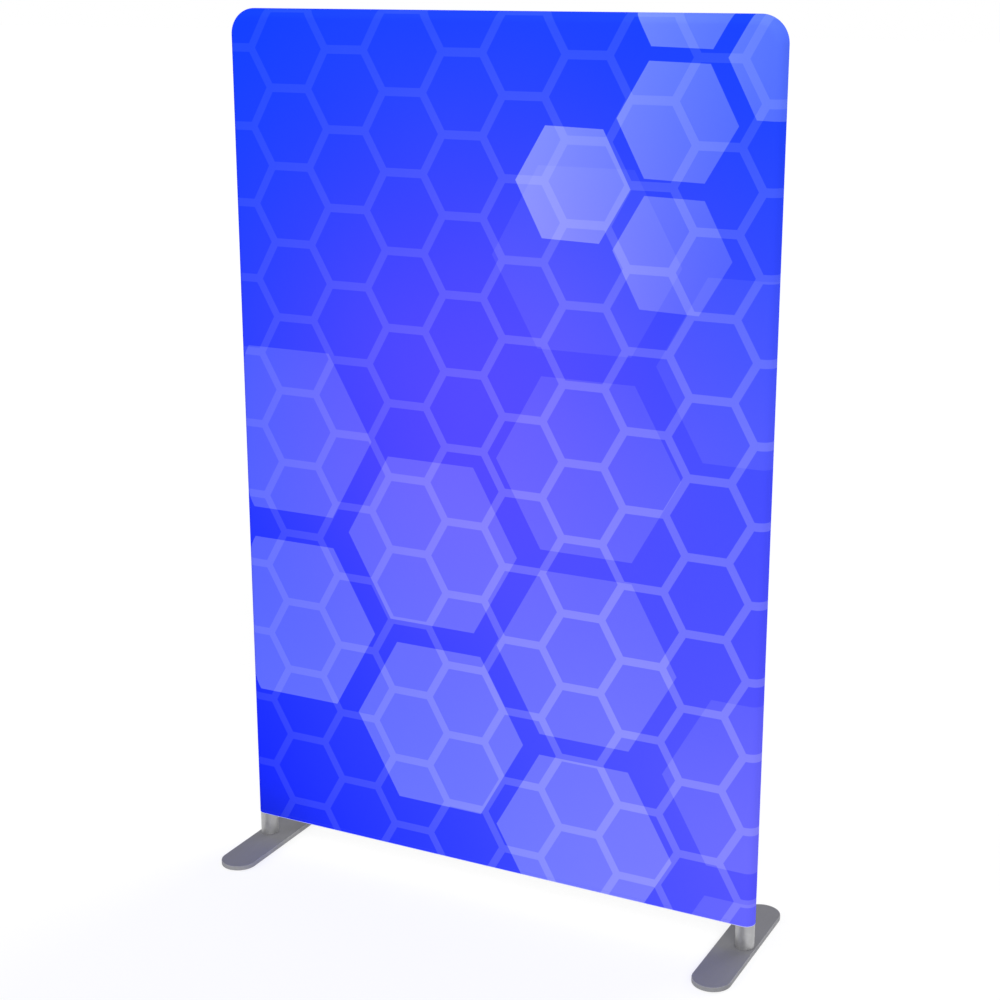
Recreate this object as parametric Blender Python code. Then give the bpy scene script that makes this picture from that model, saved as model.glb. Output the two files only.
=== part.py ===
"""Free-standing lightbox display wall.

A frame of round tube, plugged together and standing on two flat feet, wears a stretched
printed sleeve that zips shut underneath. Light bars stand between the rails inside it.

Metres, +Z up. The print faces -Y. The origin is on the floor, midway between the feet.
"""
import math

import bmesh
import bpy
from mathutils import Matrix, Vector

# Whole panel
PANEL_WIDTH = 1.524
PANEL_TOP = 2.3645
HEM_HEIGHT = 0.082

# Clearances
FIT_GAP = 0.0003
CUT_OVERRUN = 0.001
MERGE_DISTANCE = 0.000001

# Sleeve
CLOTH_THICKNESS = 0.0006
BACK_WRAP = 0.02

# Tube frame
TUBE_RADIUS = 0.025
TUBE_WALL = 0.0015
CORNER_BEND = 0.042
ELBOW_STUB = 0.015
SPIGOT_WALL = 0.002
SPIGOT_LENGTH = 0.06
SPLICE_HEIGHT = 1.15
STUB_COLLAR = 0.006

# Snap buttons
BUTTON_RADIUS = 0.004
BUTTON_PROUD = 0.003
BUTTON_CHAMFER = 0.001
LEAF_WIDTH = 0.01
LEAF_LENGTH = 0.032
LEAF_THICKNESS = 0.0008

# Feet
FOOT_LENGTH = 0.472
FOOT_WIDTH = 0.102
FOOT_THICKNESS = 0.0122
FOOT_CHAMFER = 0.0012
FOOT_INSET = 0.02
PAD_THICKNESS = 0.0015
PAD_RADIUS = 0.02
PAD_END_SETBACK = 0.055
FOOT_SPIGOT_HEIGHT = 0.06
FOOT_SPIGOT_CHAMFER = 0.002
SCREW_RADIUS = 0.004
SCREW_HEAD_RADIUS = 0.008
SCREW_HEAD_HEIGHT = 0.0045
SCREW_GRIP = 0.03
SCREW_RECESS = 0.0005
SOCKET_RADIUS = 0.0025
SOCKET_DEPTH = 0.0025

# Zip
ZIP_LINE = 0.015
COIL_WIDTH = 0.0025
COIL_STAND = 0.0007
SLIDER_FIN = 0.0006
SLIDER_LENGTH = 0.012
SLIDER_WIDTH = 0.009
SLIDER_PLATE = 0.0012
SLIDER_END_SETBACK = 0.05
BAIL_LENGTH = 0.007
BAIL_WIDTH = 0.002
BAIL_LEG = 0.001
BAIL_BRIDGE = 0.001
PULL_PIN = 0.001
PULL_REACH = 0.018
PULL_SIDE = 0.0013
PULL_PLAY = 0.0004

# Light bars
BAR_COUNT = 6
BAR_POST_SETBACK = 0.1361
BAR_WIDTH = 0.02
BAR_THICKNESS = 0.0015
BAR_SETBACK = 0.008
BAR_TAB_WIDTH = 0.008
BAR_TAB_REACH = 0.006
LENS_WIDTH = 0.012
LENS_DEPTH = 0.006
LENS_END_SETBACK = 0.012
LENS_CHEEK = 0.0015

# Junction box and its wiring
BOX_LENGTH = 0.08
BOX_HEIGHT = 0.027
BOX_SKIRT = 0.01
BOX_FRONT = 0.02
BOX_WALL = 0.002
BOX_BAR_GAP = 0.03
LID_LIP = 0.0015
BOARD_THICKNESS = 0.0016
BOARD_MARGIN = 0.003
INLET_RADIUS = 0.0045
INLET_FLANGE_RADIUS = 0.0065
INLET_FLANGE = 0.002
INLET_LENGTH = 0.012
INLET_BORE = 0.00275
INLET_BORE_DEPTH = 0.01
HARNESS_RADIUS = 0.002
HARNESS_OVERHANG = 0.012

# Facets
TUBE_SIDES = 32
ELBOW_SIDES = 24
BEND_STEPS = 6
WRAP_STEPS = 16
FOOT_END_STEPS = 16
SMALL_SIDES = 16
LENS_STEPS = 6
SMOOTH_ANGLE = math.radians(35)

# Places worked out from the sizes above
SLEEVE_INNER = TUBE_RADIUS + FIT_GAP
SLEEVE_OUTER = SLEEVE_INNER + CLOTH_THICKNESS
POST_X = PANEL_WIDTH / 2 - SLEEVE_OUTER
TOP_RAIL_Z = PANEL_TOP - SLEEVE_OUTER
BOTTOM_RAIL_Z = HEM_HEIGHT + CLOTH_THICKNESS + FIT_GAP + TUBE_RADIUS
TUBE_BORE = TUBE_RADIUS - TUBE_WALL
SPIGOT_RADIUS = TUBE_BORE - FIT_GAP
SPIGOT_BORE = SPIGOT_RADIUS - SPIGOT_WALL
BUTTON_HOLE = BUTTON_RADIUS + FIT_GAP
BUTTON_TRAVEL = TUBE_RADIUS + BUTTON_PROUD - SPIGOT_RADIUS
FOOT_BOTTOM = PAD_THICKNESS + FIT_GAP
FOOT_TOP = FOOT_BOTTOM + FOOT_THICKNESS
ELBOW_SHOULDER_Z = TOP_RAIL_Z - CORNER_BEND - ELBOW_STUB
ELBOW_SHOULDER_X = POST_X - CORNER_BEND - ELBOW_STUB
STUB_SHOULDER_X = POST_X - TUBE_RADIUS - STUB_COLLAR
BAR_FRONT = BAR_SETBACK - BAR_THICKNESS / 2
BAR_BACK = BAR_SETBACK + BAR_THICKNESS / 2
HARNESS_Y = BAR_BACK + FIT_GAP + HARNESS_RADIUS

X_AXIS = Vector((1, 0, 0))
Y_AXIS = Vector((0, 1, 0))
Z_AXIS = Vector((0, 0, 1))
SIDES = {"left": -1, "right": 1}


def clear_scene():
    """Removes everything that the new file came with."""
    for thing in list(bpy.data.objects):
        bpy.data.objects.remove(thing, do_unlink=True)


def finish(name, colour, roughness, metallic=0.0):
    """Returns the material of that name, made on its first use."""
    material = bpy.data.materials.get(name)
    if material is None:
        material = bpy.data.materials.new(name)
        material.use_nodes = True
        shader = material.node_tree.nodes["Principled BSDF"]
        shader.inputs["Base Color"].default_value = (*colour, 1.0)
        shader.inputs["Roughness"].default_value = roughness
        shader.inputs["Metallic"].default_value = metallic
    return material


def anodised_tube():
    return finish("anodised_tube", (0.62, 0.62, 0.64), 0.38, 1.0)


def cast_alloy():
    return finish("cast_alloy", (0.55, 0.55, 0.57), 0.5, 1.0)


def plated_steel():
    return finish("plated_steel", (0.72, 0.72, 0.74), 0.25, 1.0)


def foot_coating():
    return finish("foot_coating", (0.19, 0.19, 0.22), 0.5)


def pad_rubber():
    return finish("pad_rubber", (0.03, 0.03, 0.03), 0.85)


def print_cloth():
    return finish("print_cloth", (0.06, 0.07, 0.95), 0.7)


def liner_cloth():
    return finish("liner_cloth", (0.75, 0.75, 0.76), 0.8)


def zip_tape():
    return finish("zip_tape", (0.7, 0.7, 0.71), 0.75)


def lens_plastic():
    return finish("lens_plastic", (0.85, 0.87, 0.9), 0.2)


def box_plastic():
    return finish("box_plastic", (0.05, 0.05, 0.055), 0.55)


def board_laminate():
    return finish("board_laminate", (0.04, 0.2, 0.08), 0.5)


def bar_alloy():
    return finish("bar_alloy", (0.8, 0.8, 0.82), 0.35, 1.0)


def place_mesh(name, bm, material):
    """Turns a bmesh into a named object with outward faces, smooth where it is round."""
    bmesh.ops.remove_doubles(bm, verts=bm.verts, dist=MERGE_DISTANCE)
    bmesh.ops.recalc_face_normals(bm, faces=bm.faces)
    mesh = bpy.data.meshes.new(name)
    bm.to_mesh(mesh)
    bm.free()
    mesh.materials.append(material)
    mesh.shade_smooth()
    mesh.set_sharp_from_angle(angle=SMOOTH_ANGLE)
    thing = bpy.data.objects.new(name, mesh)
    bpy.context.collection.objects.link(thing)
    return thing


def as_cutter(thing):
    """Marks an object that only shapes others."""
    thing.hide_render = True
    thing.display_type = "WIRE"
    return thing


def combine(target, tool, operation):
    """Adds a Boolean of the tool to the target."""
    modifier = target.modifiers.new(operation.lower(), "BOOLEAN")
    modifier.operation = operation
    modifier.object = tool


def turning(direction):
    """Returns the rotation that takes +Z to the direction."""
    return direction.to_track_quat("Z", "Y").to_matrix().to_4x4()


def turned(name, outline, base, direction, material, sides=SMALL_SIDES):
    """Turns an outline of (radius, height) points about the line through base.

    An outline that starts and ends on the line makes a solid piece, any other a ring.
    """
    bm = bmesh.new()
    points = [bm.verts.new((radius, 0, height)) for radius, height in outline]
    edges = [bm.edges.new(pair) for pair in zip(points, points[1:])]
    if outline[0][0] > 0:
        edges.append(bm.edges.new((points[-1], points[0])))
    bmesh.ops.spin(bm, geom=points + edges, axis=Z_AXIS, cent=Vector(), steps=sides,
                   angle=math.tau, use_merge=True)
    bmesh.ops.transform(bm, matrix=Matrix.Translation(base) @ turning(direction), verts=bm.verts)
    return place_mesh(name, bm, material)


def rod(name, start, end, radius, material, sides=SMALL_SIDES):
    """A plain round rod between two points."""
    length = (end - start).length
    outline = [(0, 0), (radius, 0), (radius, length), (0, length)]
    return turned(name, outline, start, end - start, material, sides)


def tube(name, start, end, radius, bore, material):
    """A straight tube between two points."""
    length = (end - start).length
    outline = [(bore, 0), (radius, 0), (radius, length), (bore, length)]
    return turned(name, outline, start, end - start, material, TUBE_SIDES)


def block(name, low, high, material):
    """A box between two corners."""
    bm = bmesh.new()
    bmesh.ops.create_cube(bm, size=1)
    low, high = Vector(low), Vector(high)
    bmesh.ops.scale(bm, vec=high - low, verts=bm.verts)
    bmesh.ops.translate(bm, vec=(low + high) / 2, verts=bm.verts)
    return place_mesh(name, bm, material)


def prism(name, outline, start, length, material):
    """Extrudes an outline of points along +X, +Y or +Z by the vector length."""
    bm = bmesh.new()
    face = bm.faces.new([bm.verts.new(Vector(start) + point) for point in outline])
    made = bmesh.ops.extrude_face_region(bm, geom=[face], use_keep_orig=True)
    moved = [item for item in made["geom"] if isinstance(item, bmesh.types.BMVert)]
    bmesh.ops.translate(bm, vec=length, verts=moved)
    return place_mesh(name, bm, material)


def pivot(name, place):
    """An empty on a joint's axis, which carries the pieces that move about it."""
    axis = bpy.data.objects.new(name, None)
    axis.location = place
    axis.empty_display_size = TUBE_RADIUS
    bpy.context.collection.objects.link(axis)
    return axis


def carry(axis, *pieces):
    """Parents pieces made in place to the empty, without moving them."""
    for piece in pieces:
        piece.data.transform(Matrix.Translation(-axis.location))
        piece.parent = axis


def chord(radius, offset):
    """Half the width of a circle at an offset from its centre."""
    return math.sqrt(radius ** 2 - offset ** 2)


def snap_button(name, centre, outward, along, tubes):
    """A sprung button on its leaf, out through the holes that it cuts in the tubes.

    centre is on the tube's axis, outward points at the button and along runs down the tube.
    """
    leaf_top = chord(SPIGOT_BORE, LEAF_WIDTH / 2) - FIT_GAP
    hole = as_cutter(rod(name + "_hole", centre + outward * (leaf_top - CUT_OVERRUN),
                         centre + outward * (TUBE_RADIUS + CUT_OVERRUN), BUTTON_HOLE,
                         plated_steel()))
    for piece in tubes:
        combine(piece, hole, "DIFFERENCE")
    across = outward.cross(along)
    corner = centre + outward * (leaf_top - LEAF_THICKNESS) - along * BUTTON_HOLE
    outline = [across * (side * LEAF_WIDTH / 2) + outward * (lift * LEAF_THICKNESS)
               for side, lift in ((-1, 0), (1, 0), (1, 1), (-1, 1))]
    button = prism(name, outline, corner, along * LEAF_LENGTH, plated_steel())
    top = TUBE_RADIUS + BUTTON_PROUD
    base = leaf_top - LEAF_THICKNESS / 2
    shape = [(0, 0), (BUTTON_RADIUS, 0), (BUTTON_RADIUS, top - base - BUTTON_CHAMFER),
             (BUTTON_RADIUS - BUTTON_CHAMFER, top - base), (0, top - base)]
    pin = as_cutter(turned(name + "_pin", shape, centre + outward * base, outward,
                           plated_steel()))
    combine(button, pin, "UNION")
    axis = pivot(name + "_axis", centre + outward * top)
    carry(axis, button)


def foot_plate(name, side):
    """The flat foot: a long plate with round ends, its top edge chamfered."""
    radius = FOOT_WIDTH / 2
    centre_x = side * (POST_X - FOOT_INSET)
    reach = FOOT_LENGTH / 2 - radius
    outline = []
    for end in (1, -1):
        for step in range(FOOT_END_STEPS + 1):
            angle = math.pi * step / FOOT_END_STEPS
            outline.append(Vector((end * radius * math.cos(angle),
                                   end * (reach + radius * math.sin(angle)), 0)))
    plate = prism(name, outline, (centre_x, 0, FOOT_BOTTOM), Z_AXIS * FOOT_THICKNESS,
                  foot_coating())
    bevel = plate.modifiers.new("edge", "BEVEL")
    bevel.width = FOOT_CHAMFER
    bevel.segments = 1
    bevel.limit_method = "ANGLE"
    head_top = SCREW_RECESS + SCREW_HEAD_HEIGHT
    shape = [(0, -CUT_OVERRUN), (SCREW_HEAD_RADIUS + FIT_GAP, -CUT_OVERRUN),
             (SCREW_HEAD_RADIUS + FIT_GAP, SCREW_RECESS), (SCREW_RADIUS + FIT_GAP, head_top),
             (SCREW_RADIUS + FIT_GAP, FOOT_THICKNESS + CUT_OVERRUN),
             (0, FOOT_THICKNESS + CUT_OVERRUN)]
    hole = as_cutter(turned(name + "_hole", shape, Vector((side * POST_X, 0, FOOT_BOTTOM)),
                            Z_AXIS, foot_coating()))
    combine(plate, hole, "DIFFERENCE")
    return plate


def foot_spigot(name, side):
    """The turned plug on the foot that the post slides over, bored for the screw."""
    base = Vector((side * POST_X, 0, FOOT_TOP + FIT_GAP))
    bore = SCREW_RADIUS + FIT_GAP
    shape = [(0, SCREW_GRIP), (bore, SCREW_GRIP), (bore, 0), (SPIGOT_RADIUS, 0),
             (SPIGOT_RADIUS, FOOT_SPIGOT_HEIGHT - FOOT_SPIGOT_CHAMFER),
             (SPIGOT_RADIUS - FOOT_SPIGOT_CHAMFER, FOOT_SPIGOT_HEIGHT),
             (0, FOOT_SPIGOT_HEIGHT)]
    return turned(name, shape, base, Z_AXIS, cast_alloy(), TUBE_SIDES)


def foot_screw(name, side):
    """The countersunk screw from under the plate into the spigot, with its socket."""
    base = Vector((side * POST_X, 0, FOOT_BOTTOM + SCREW_RECESS))
    top = FOOT_THICKNESS - SCREW_RECESS + SCREW_GRIP - FIT_GAP
    shape = [(0, SOCKET_DEPTH), (SOCKET_RADIUS, SOCKET_DEPTH), (SOCKET_RADIUS, 0),
             (SCREW_HEAD_RADIUS, 0), (SCREW_RADIUS, SCREW_HEAD_HEIGHT), (SCREW_RADIUS, top),
             (0, top)]
    return turned(name, shape, base, Z_AXIS, plated_steel())


def foot(label, side):
    """One foot with its spigot, screw and rubber pads, which swivel about the post."""
    pieces = [foot_plate("foot_plate_" + label, side),
              foot_spigot("foot_spigot_" + label, side),
              foot_screw("foot_screw_" + label, side)]
    reach = FOOT_LENGTH / 2 - PAD_END_SETBACK
    for end, place in (("front", -reach), ("back", reach)):
        low = Vector((side * (POST_X - FOOT_INSET), place, 0))
        pieces.append(rod("foot_pad_" + label + "_" + end, low, low + Z_AXIS * PAD_THICKNESS,
                          PAD_RADIUS, pad_rubber()))
    carry(pivot("foot_axis_" + label, (side * POST_X, 0, 0)), *pieces)


def coupler(name, centre, along):
    """The sleeve inside a splice, half its length in each tube."""
    half = along * SPIGOT_LENGTH
    return tube(name, centre - half, centre + half, SPIGOT_RADIUS, SPIGOT_BORE, cast_alloy())


def post(label, side):
    """An upright of two spliced tubes."""
    foot_end = Vector((side * POST_X, 0, FOOT_TOP + FIT_GAP))
    splice = Vector((side * POST_X, 0, SPLICE_HEIGHT))
    head = Vector((side * POST_X, 0, ELBOW_SHOULDER_Z - FIT_GAP))
    lower = tube("upright_lower_" + label, foot_end, splice - Z_AXIS * FIT_GAP / 2,
                 TUBE_RADIUS, TUBE_BORE, anodised_tube())
    upper = tube("upright_upper_" + label, splice + Z_AXIS * FIT_GAP / 2, head,
                 TUBE_RADIUS, TUBE_BORE, anodised_tube())
    inner = coupler("upright_coupler_" + label, splice, Z_AXIS)
    snap_button("upright_button_" + label, splice + Z_AXIS * SPIGOT_LENGTH / 2,
                -X_AXIS * side, Z_AXIS * -1, [upper, inner])
    return lower, upper


def ring_of(bm, centre, across, up, radius):
    """Adds one ring of vertices round a centre."""
    angles = [math.tau * step / ELBOW_SIDES for step in range(ELBOW_SIDES)]
    return [bm.verts.new(centre + across * (radius * math.cos(angle))
                         + up * (radius * math.sin(angle))) for angle in angles]


def elbow(label, side):
    """The bent corner, with a plug for the post below and one for the rail beside it."""
    inward = -X_AXIS * side
    hub = Vector((side * (POST_X - CORNER_BEND), 0, TOP_RAIL_Z - CORNER_BEND))
    low = Vector((side * POST_X, 0, ELBOW_SHOULDER_Z))
    far = Vector((side * ELBOW_SHOULDER_X, 0, TOP_RAIL_Z))
    plug = SPIGOT_LENGTH - FIT_GAP
    low_tip = (low - Z_AXIS * plug, -inward)
    far_tip = (far + inward * plug, Z_AXIS)
    course = [(low, -inward)]
    for step in range(BEND_STEPS + 1):
        angle = math.pi / 2 * step / BEND_STEPS
        outward = -inward * math.cos(angle) + Z_AXIS * math.sin(angle)
        course.append((hub + outward * CORNER_BEND, outward))
    course.append((far, Z_AXIS))
    skin = [(low_tip, SPIGOT_RADIUS), (course[0], SPIGOT_RADIUS)]
    skin += [(station, TUBE_RADIUS) for station in course]
    skin += [(course[-1], SPIGOT_RADIUS), (far_tip, SPIGOT_RADIUS)]
    bore = [(station, SPIGOT_BORE) for station in [low_tip] + course + [far_tip]]
    bm = bmesh.new()
    rings = [ring_of(bm, centre, outward, Y_AXIS, radius)
             for (centre, outward), radius in skin + bore[::-1]]
    for ring, following in zip(rings, rings[1:] + rings[:1]):
        for step in range(ELBOW_SIDES):
            after = (step + 1) % ELBOW_SIDES
            bm.faces.new((ring[step], ring[after], following[after], following[step]))
    piece = place_mesh("corner_elbow_" + label, bm, cast_alloy())
    return piece, low, far


def rail_stub(label, side):
    """The stub welded to a post, coped to its round, that the bottom rail slides over."""
    inward = -X_AXIS * side
    shoulder = Vector((side * STUB_SHOULDER_X, 0, BOTTOM_RAIL_Z))
    shape = [(SPIGOT_BORE, -TUBE_RADIUS - STUB_COLLAR), (TUBE_RADIUS, -TUBE_RADIUS - STUB_COLLAR),
             (TUBE_RADIUS, 0), (SPIGOT_RADIUS, 0), (SPIGOT_RADIUS, SPIGOT_LENGTH),
             (SPIGOT_BORE, SPIGOT_LENGTH)]
    stub = turned("rail_stub_" + label, shape, shoulder, inward, cast_alloy(), TUBE_SIDES)
    middle = Vector((side * POST_X, 0, BOTTOM_RAIL_Z))
    reach = Z_AXIS * (2 * TUBE_RADIUS)
    cope = as_cutter(rod("stub_cope_" + label, middle - reach, middle + reach,
                         TUBE_RADIUS + FIT_GAP, cast_alloy(), TUBE_SIDES))
    combine(stub, cope, "DIFFERENCE")
    past_post = side * (POST_X + 2 * TUBE_RADIUS)
    beyond = as_cutter(block("stub_end_" + label,
                             (min(side * POST_X, past_post), -2 * TUBE_RADIUS,
                              BOTTOM_RAIL_Z - 2 * TUBE_RADIUS),
                             (max(side * POST_X, past_post), 2 * TUBE_RADIUS,
                              BOTTOM_RAIL_Z + 2 * TUBE_RADIUS), cast_alloy()))
    combine(stub, beyond, "DIFFERENCE")
    return stub, shoulder


def bar_places():
    """The x of each light bar, from left to right, evenly spread between the posts."""
    reach = POST_X - BAR_POST_SETBACK
    return [reach * (2 * index / (BAR_COUNT - 1) - 1) for index in range(BAR_COUNT)]


def slot_cutters(level, name):
    """Slots that take the light bars' tabs, on one side of a rail."""
    cutters = []
    for number, place in enumerate(bar_places(), 1):
        half = BAR_TAB_WIDTH / 2 + FIT_GAP
        ends = sorted((level[0], level[1]))
        cutters.append((place, as_cutter(block(
            "slot_" + name + "_" + str(number), (place - half, BAR_FRONT - FIT_GAP, ends[0]),
            (place + half, BAR_BACK + FIT_GAP, ends[1]), anodised_tube()))))
    return cutters


def rail_pair(name, rail_z, end_x, facing):
    """Two spliced tubes along X, slotted on the side that faces the light bars."""
    level = (rail_z, rail_z + facing * (TUBE_RADIUS + CUT_OVERRUN))
    slots = slot_cutters(level, name)
    halves = {}
    for label, side in SIDES.items():
        inner_end = Vector((side * FIT_GAP / 2, 0, rail_z))
        outer_end = Vector((side * (end_x - FIT_GAP), 0, rail_z))
        halves[label] = tube(name + "_" + label, inner_end, outer_end, TUBE_RADIUS, TUBE_BORE,
                             anodised_tube())
        for place, cutter in slots:
            if place * side > 0:
                combine(halves[label], cutter, "DIFFERENCE")
    inner = coupler(name + "_coupler", Vector((0, 0, rail_z)), X_AXIS)
    snap_button(name + "_button", Vector((SPIGOT_LENGTH / 2, 0, rail_z)), Z_AXIS * facing,
                -X_AXIS, [halves["right"], inner])
    return halves


def frame():
    """Posts, corners and rails, plugged together and locked by snap buttons."""
    top = rail_pair("top_rail", TOP_RAIL_Z, ELBOW_SHOULDER_X, -1)
    bottom = rail_pair("bottom_rail", BOTTOM_RAIL_Z, STUB_SHOULDER_X, 1)
    for label, side in SIDES.items():
        inward = -X_AXIS * side
        upper = post(label, side)[1]
        corner, low, far = elbow(label, side)
        snap_button("elbow_post_button_" + label, low - Z_AXIS * SPIGOT_LENGTH / 2, inward,
                    Z_AXIS, [upper, corner])
        snap_button("elbow_rail_button_" + label, far + inward * SPIGOT_LENGTH / 2,
                    -Z_AXIS, -inward, [top[label], corner])
        stub, shoulder = rail_stub(label, side)
        snap_button("stub_button_" + label, shoulder + inward * SPIGOT_LENGTH / 2, Z_AXIS,
                    -inward, [bottom[label], stub])


def frame_path(offset):
    """Points (x, z) round the tubes' axis moved outward by offset, left hem to right hem."""
    bend = CORNER_BEND + offset
    hub_x = POST_X - CORNER_BEND
    hub_z = TOP_RAIL_Z - CORNER_BEND
    points = [(-hub_x - bend, HEM_HEIGHT)]
    for side, start in ((-1, math.pi), (1, math.pi / 2)):
        for step in range(BEND_STEPS + 1):
            angle = start - math.pi / 2 * step / BEND_STEPS
            points.append((side * hub_x + bend * math.cos(angle), hub_z + bend * math.sin(angle)))
    points.append((hub_x + bend, HEM_HEIGHT))
    return points


def front_print():
    """The printed sheet: flat in front, round the posts and top rail and onto the back."""
    bm = bmesh.new()
    rows = []
    for step in range(WRAP_STEPS + 1):
        angle = math.pi * step / WRAP_STEPS
        rows.append((SLEEVE_OUTER * math.sin(angle), -SLEEVE_OUTER * math.cos(angle)))
    rows.append((-BACK_WRAP, SLEEVE_OUTER))
    grid = [[bm.verts.new((x, depth, z)) for x, z in frame_path(offset)]
            for offset, depth in rows]
    bm.faces.new(grid[0])
    for row, following in zip(grid, grid[1:]):
        for step in range(len(row) - 1):
            bm.faces.new((row[step], row[step + 1], following[step + 1], following[step]))
    sheet = place_mesh("front_print", bm, print_cloth())
    thickness = sheet.modifiers.new("thickness", "SOLIDIFY")
    thickness.thickness = CLOTH_THICKNESS
    thickness.offset = -1
    thickness.use_even_offset = True


def back_liner():
    """The plain sheet sewn inside the print's edge at the back."""
    outline = [Vector((x, 0, z)) for x, z in frame_path(-BACK_WRAP - FIT_GAP)]
    prism("back_liner", outline, (0, SLEEVE_INNER, 0), Y_AXIS * CLOTH_THICKNESS, liner_cloth())


def zip_half(name, edge, coil_edge):
    """Half of the zip: a tape from the sheet's edge to its coil, along the hem."""
    toward = math.copysign(1, edge - coil_edge)
    coil_back = coil_edge + toward * COIL_WIDTH
    low, high = HEM_HEIGHT, HEM_HEIGHT + CLOTH_THICKNESS
    half_length = POST_X - TUBE_RADIUS - FIT_GAP
    outline = [Vector((0, depth, height)) for depth, height in (
        (edge, low), (coil_back, low), (coil_back, low - COIL_STAND),
        (coil_edge, low - COIL_STAND), (coil_edge, high + COIL_STAND),
        (coil_back, high + COIL_STAND), (coil_back, high), (edge, high))]
    prism(name, outline, (-half_length, 0, 0), X_AXIS * (2 * half_length), zip_tape())


def zip_slider(centre_x):
    """The slider: plates over and under the coils on a thin fin, with a bail below."""
    under = HEM_HEIGHT - COIL_STAND - FIT_GAP
    over = HEM_HEIGHT + CLOTH_THICKNESS + COIL_STAND + FIT_GAP
    wide, thin = SLIDER_WIDTH / 2, SLIDER_FIN / 2
    outline = [Vector((0, ZIP_LINE + depth, height)) for depth, height in (
        (-wide, under - SLIDER_PLATE), (wide, under - SLIDER_PLATE), (wide, under),
        (thin, under), (thin, over), (wide, over), (wide, over + SLIDER_PLATE),
        (-wide, over + SLIDER_PLATE), (-wide, over), (-thin, over), (-thin, under),
        (-wide, under))]
    slider = prism("zip_slider", outline, (centre_x - SLIDER_LENGTH / 2, 0, 0),
                   X_AXIS * SLIDER_LENGTH, plated_steel())
    roof = under - SLIDER_PLATE
    opening = PULL_PIN + 2 * PULL_PLAY
    half, leg = BAIL_LENGTH / 2, BAIL_LEG
    bridge_top = roof - opening
    bridge_low = bridge_top - BAIL_BRIDGE
    root = roof + SLIDER_PLATE / 2
    shape = [Vector((along, 0, height)) for along, height in (
        (-half, root), (-half, bridge_low), (half, bridge_low), (half, root),
        (half - leg, root), (half - leg, bridge_top), (leg - half, bridge_top),
        (leg - half, root))]
    bail = as_cutter(prism("zip_bail", shape, (centre_x, ZIP_LINE - BAIL_WIDTH / 2, 0),
                           Y_AXIS * BAIL_WIDTH, plated_steel()))
    combine(slider, bail, "UNION")
    carry(pivot("zip_slider_axis", (centre_x, ZIP_LINE, under)), slider)
    return roof - opening / 2


def zip_pull(centre_x, pin_z):
    """The tab that hangs in the bail, with a window for the bail's bridge."""
    half = PULL_PIN / 2
    window = BAIL_WIDTH / 2 + FIT_GAP
    wide = window + PULL_SIDE
    pull = block("zip_pull", (centre_x - half, ZIP_LINE - wide, pin_z - PULL_REACH),
                 (centre_x + half, ZIP_LINE + wide, pin_z + half), plated_steel())
    reach = math.hypot(BAIL_LENGTH / 2, PULL_PIN / 2 + PULL_PLAY + BAIL_BRIDGE) + FIT_GAP
    opening = as_cutter(block("zip_pull_window",
                              (centre_x - half - CUT_OVERRUN, ZIP_LINE - window, pin_z - reach),
                              (centre_x + half + CUT_OVERRUN, ZIP_LINE + window, pin_z - half),
                              plated_steel()))
    combine(pull, opening, "DIFFERENCE")
    carry(pivot("zip_pull_axis", (centre_x, ZIP_LINE, pin_z)), pull)


def sleeve():
    """The print, its liner and the zip that closes them underneath."""
    front_print()
    back_liner()
    seam = SLEEVE_INNER - FIT_GAP
    coil_gap = SLIDER_FIN / 2 + FIT_GAP
    zip_half("zip_half_front", -seam, ZIP_LINE - coil_gap)
    zip_half("zip_half_back", seam, ZIP_LINE + coil_gap)
    centre_x = POST_X - TUBE_RADIUS - SLIDER_END_SETBACK
    pin_z = zip_slider(centre_x)
    zip_pull(centre_x, pin_z)


def light_bar(number, place):
    """A flat alloy bar between the rails, with a tab in a slot at each end."""
    wide, narrow = BAR_WIDTH / 2, BAR_TAB_WIDTH / 2
    clear = chord(TUBE_RADIUS + FIT_GAP, BAR_FRONT)
    inside = chord(TUBE_BORE, BAR_FRONT) - BAR_TAB_REACH
    low, high = BOTTOM_RAIL_Z + clear, TOP_RAIL_Z - clear
    low_tip, high_tip = BOTTOM_RAIL_Z + inside, TOP_RAIL_Z - inside
    outline = [Vector((across, 0, height)) for across, height in (
        (-narrow, low_tip), (narrow, low_tip), (narrow, low), (wide, low), (wide, high),
        (narrow, high), (narrow, high_tip), (-narrow, high_tip), (-narrow, high),
        (-wide, high), (-wide, low), (-narrow, low))]
    prism("light_bar_" + str(number), outline, (place, BAR_FRONT, 0), Y_AXIS * BAR_THICKNESS,
          bar_alloy())
    return low, high


def light_lens(number, place, low, high):
    """The clear lens along a bar, a low cheek each side of a round crown."""
    half = LENS_WIDTH / 2
    crown = LENS_DEPTH - LENS_CHEEK
    seat = BAR_FRONT - FIT_GAP
    outline = [Vector((-half, 0, 0))]
    for step in range(LENS_STEPS + 1):
        angle = math.pi * step / LENS_STEPS
        outline.append(Vector((-half * math.cos(angle),
                               -LENS_CHEEK - crown * math.sin(angle), 0)))
    outline.append(Vector((half, 0, 0)))
    start = Vector((place, seat, low + LENS_END_SETBACK))
    prism("light_lens_" + str(number), outline, start,
          Z_AXIS * (high - low - 2 * LENS_END_SETBACK), lens_plastic())


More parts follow.
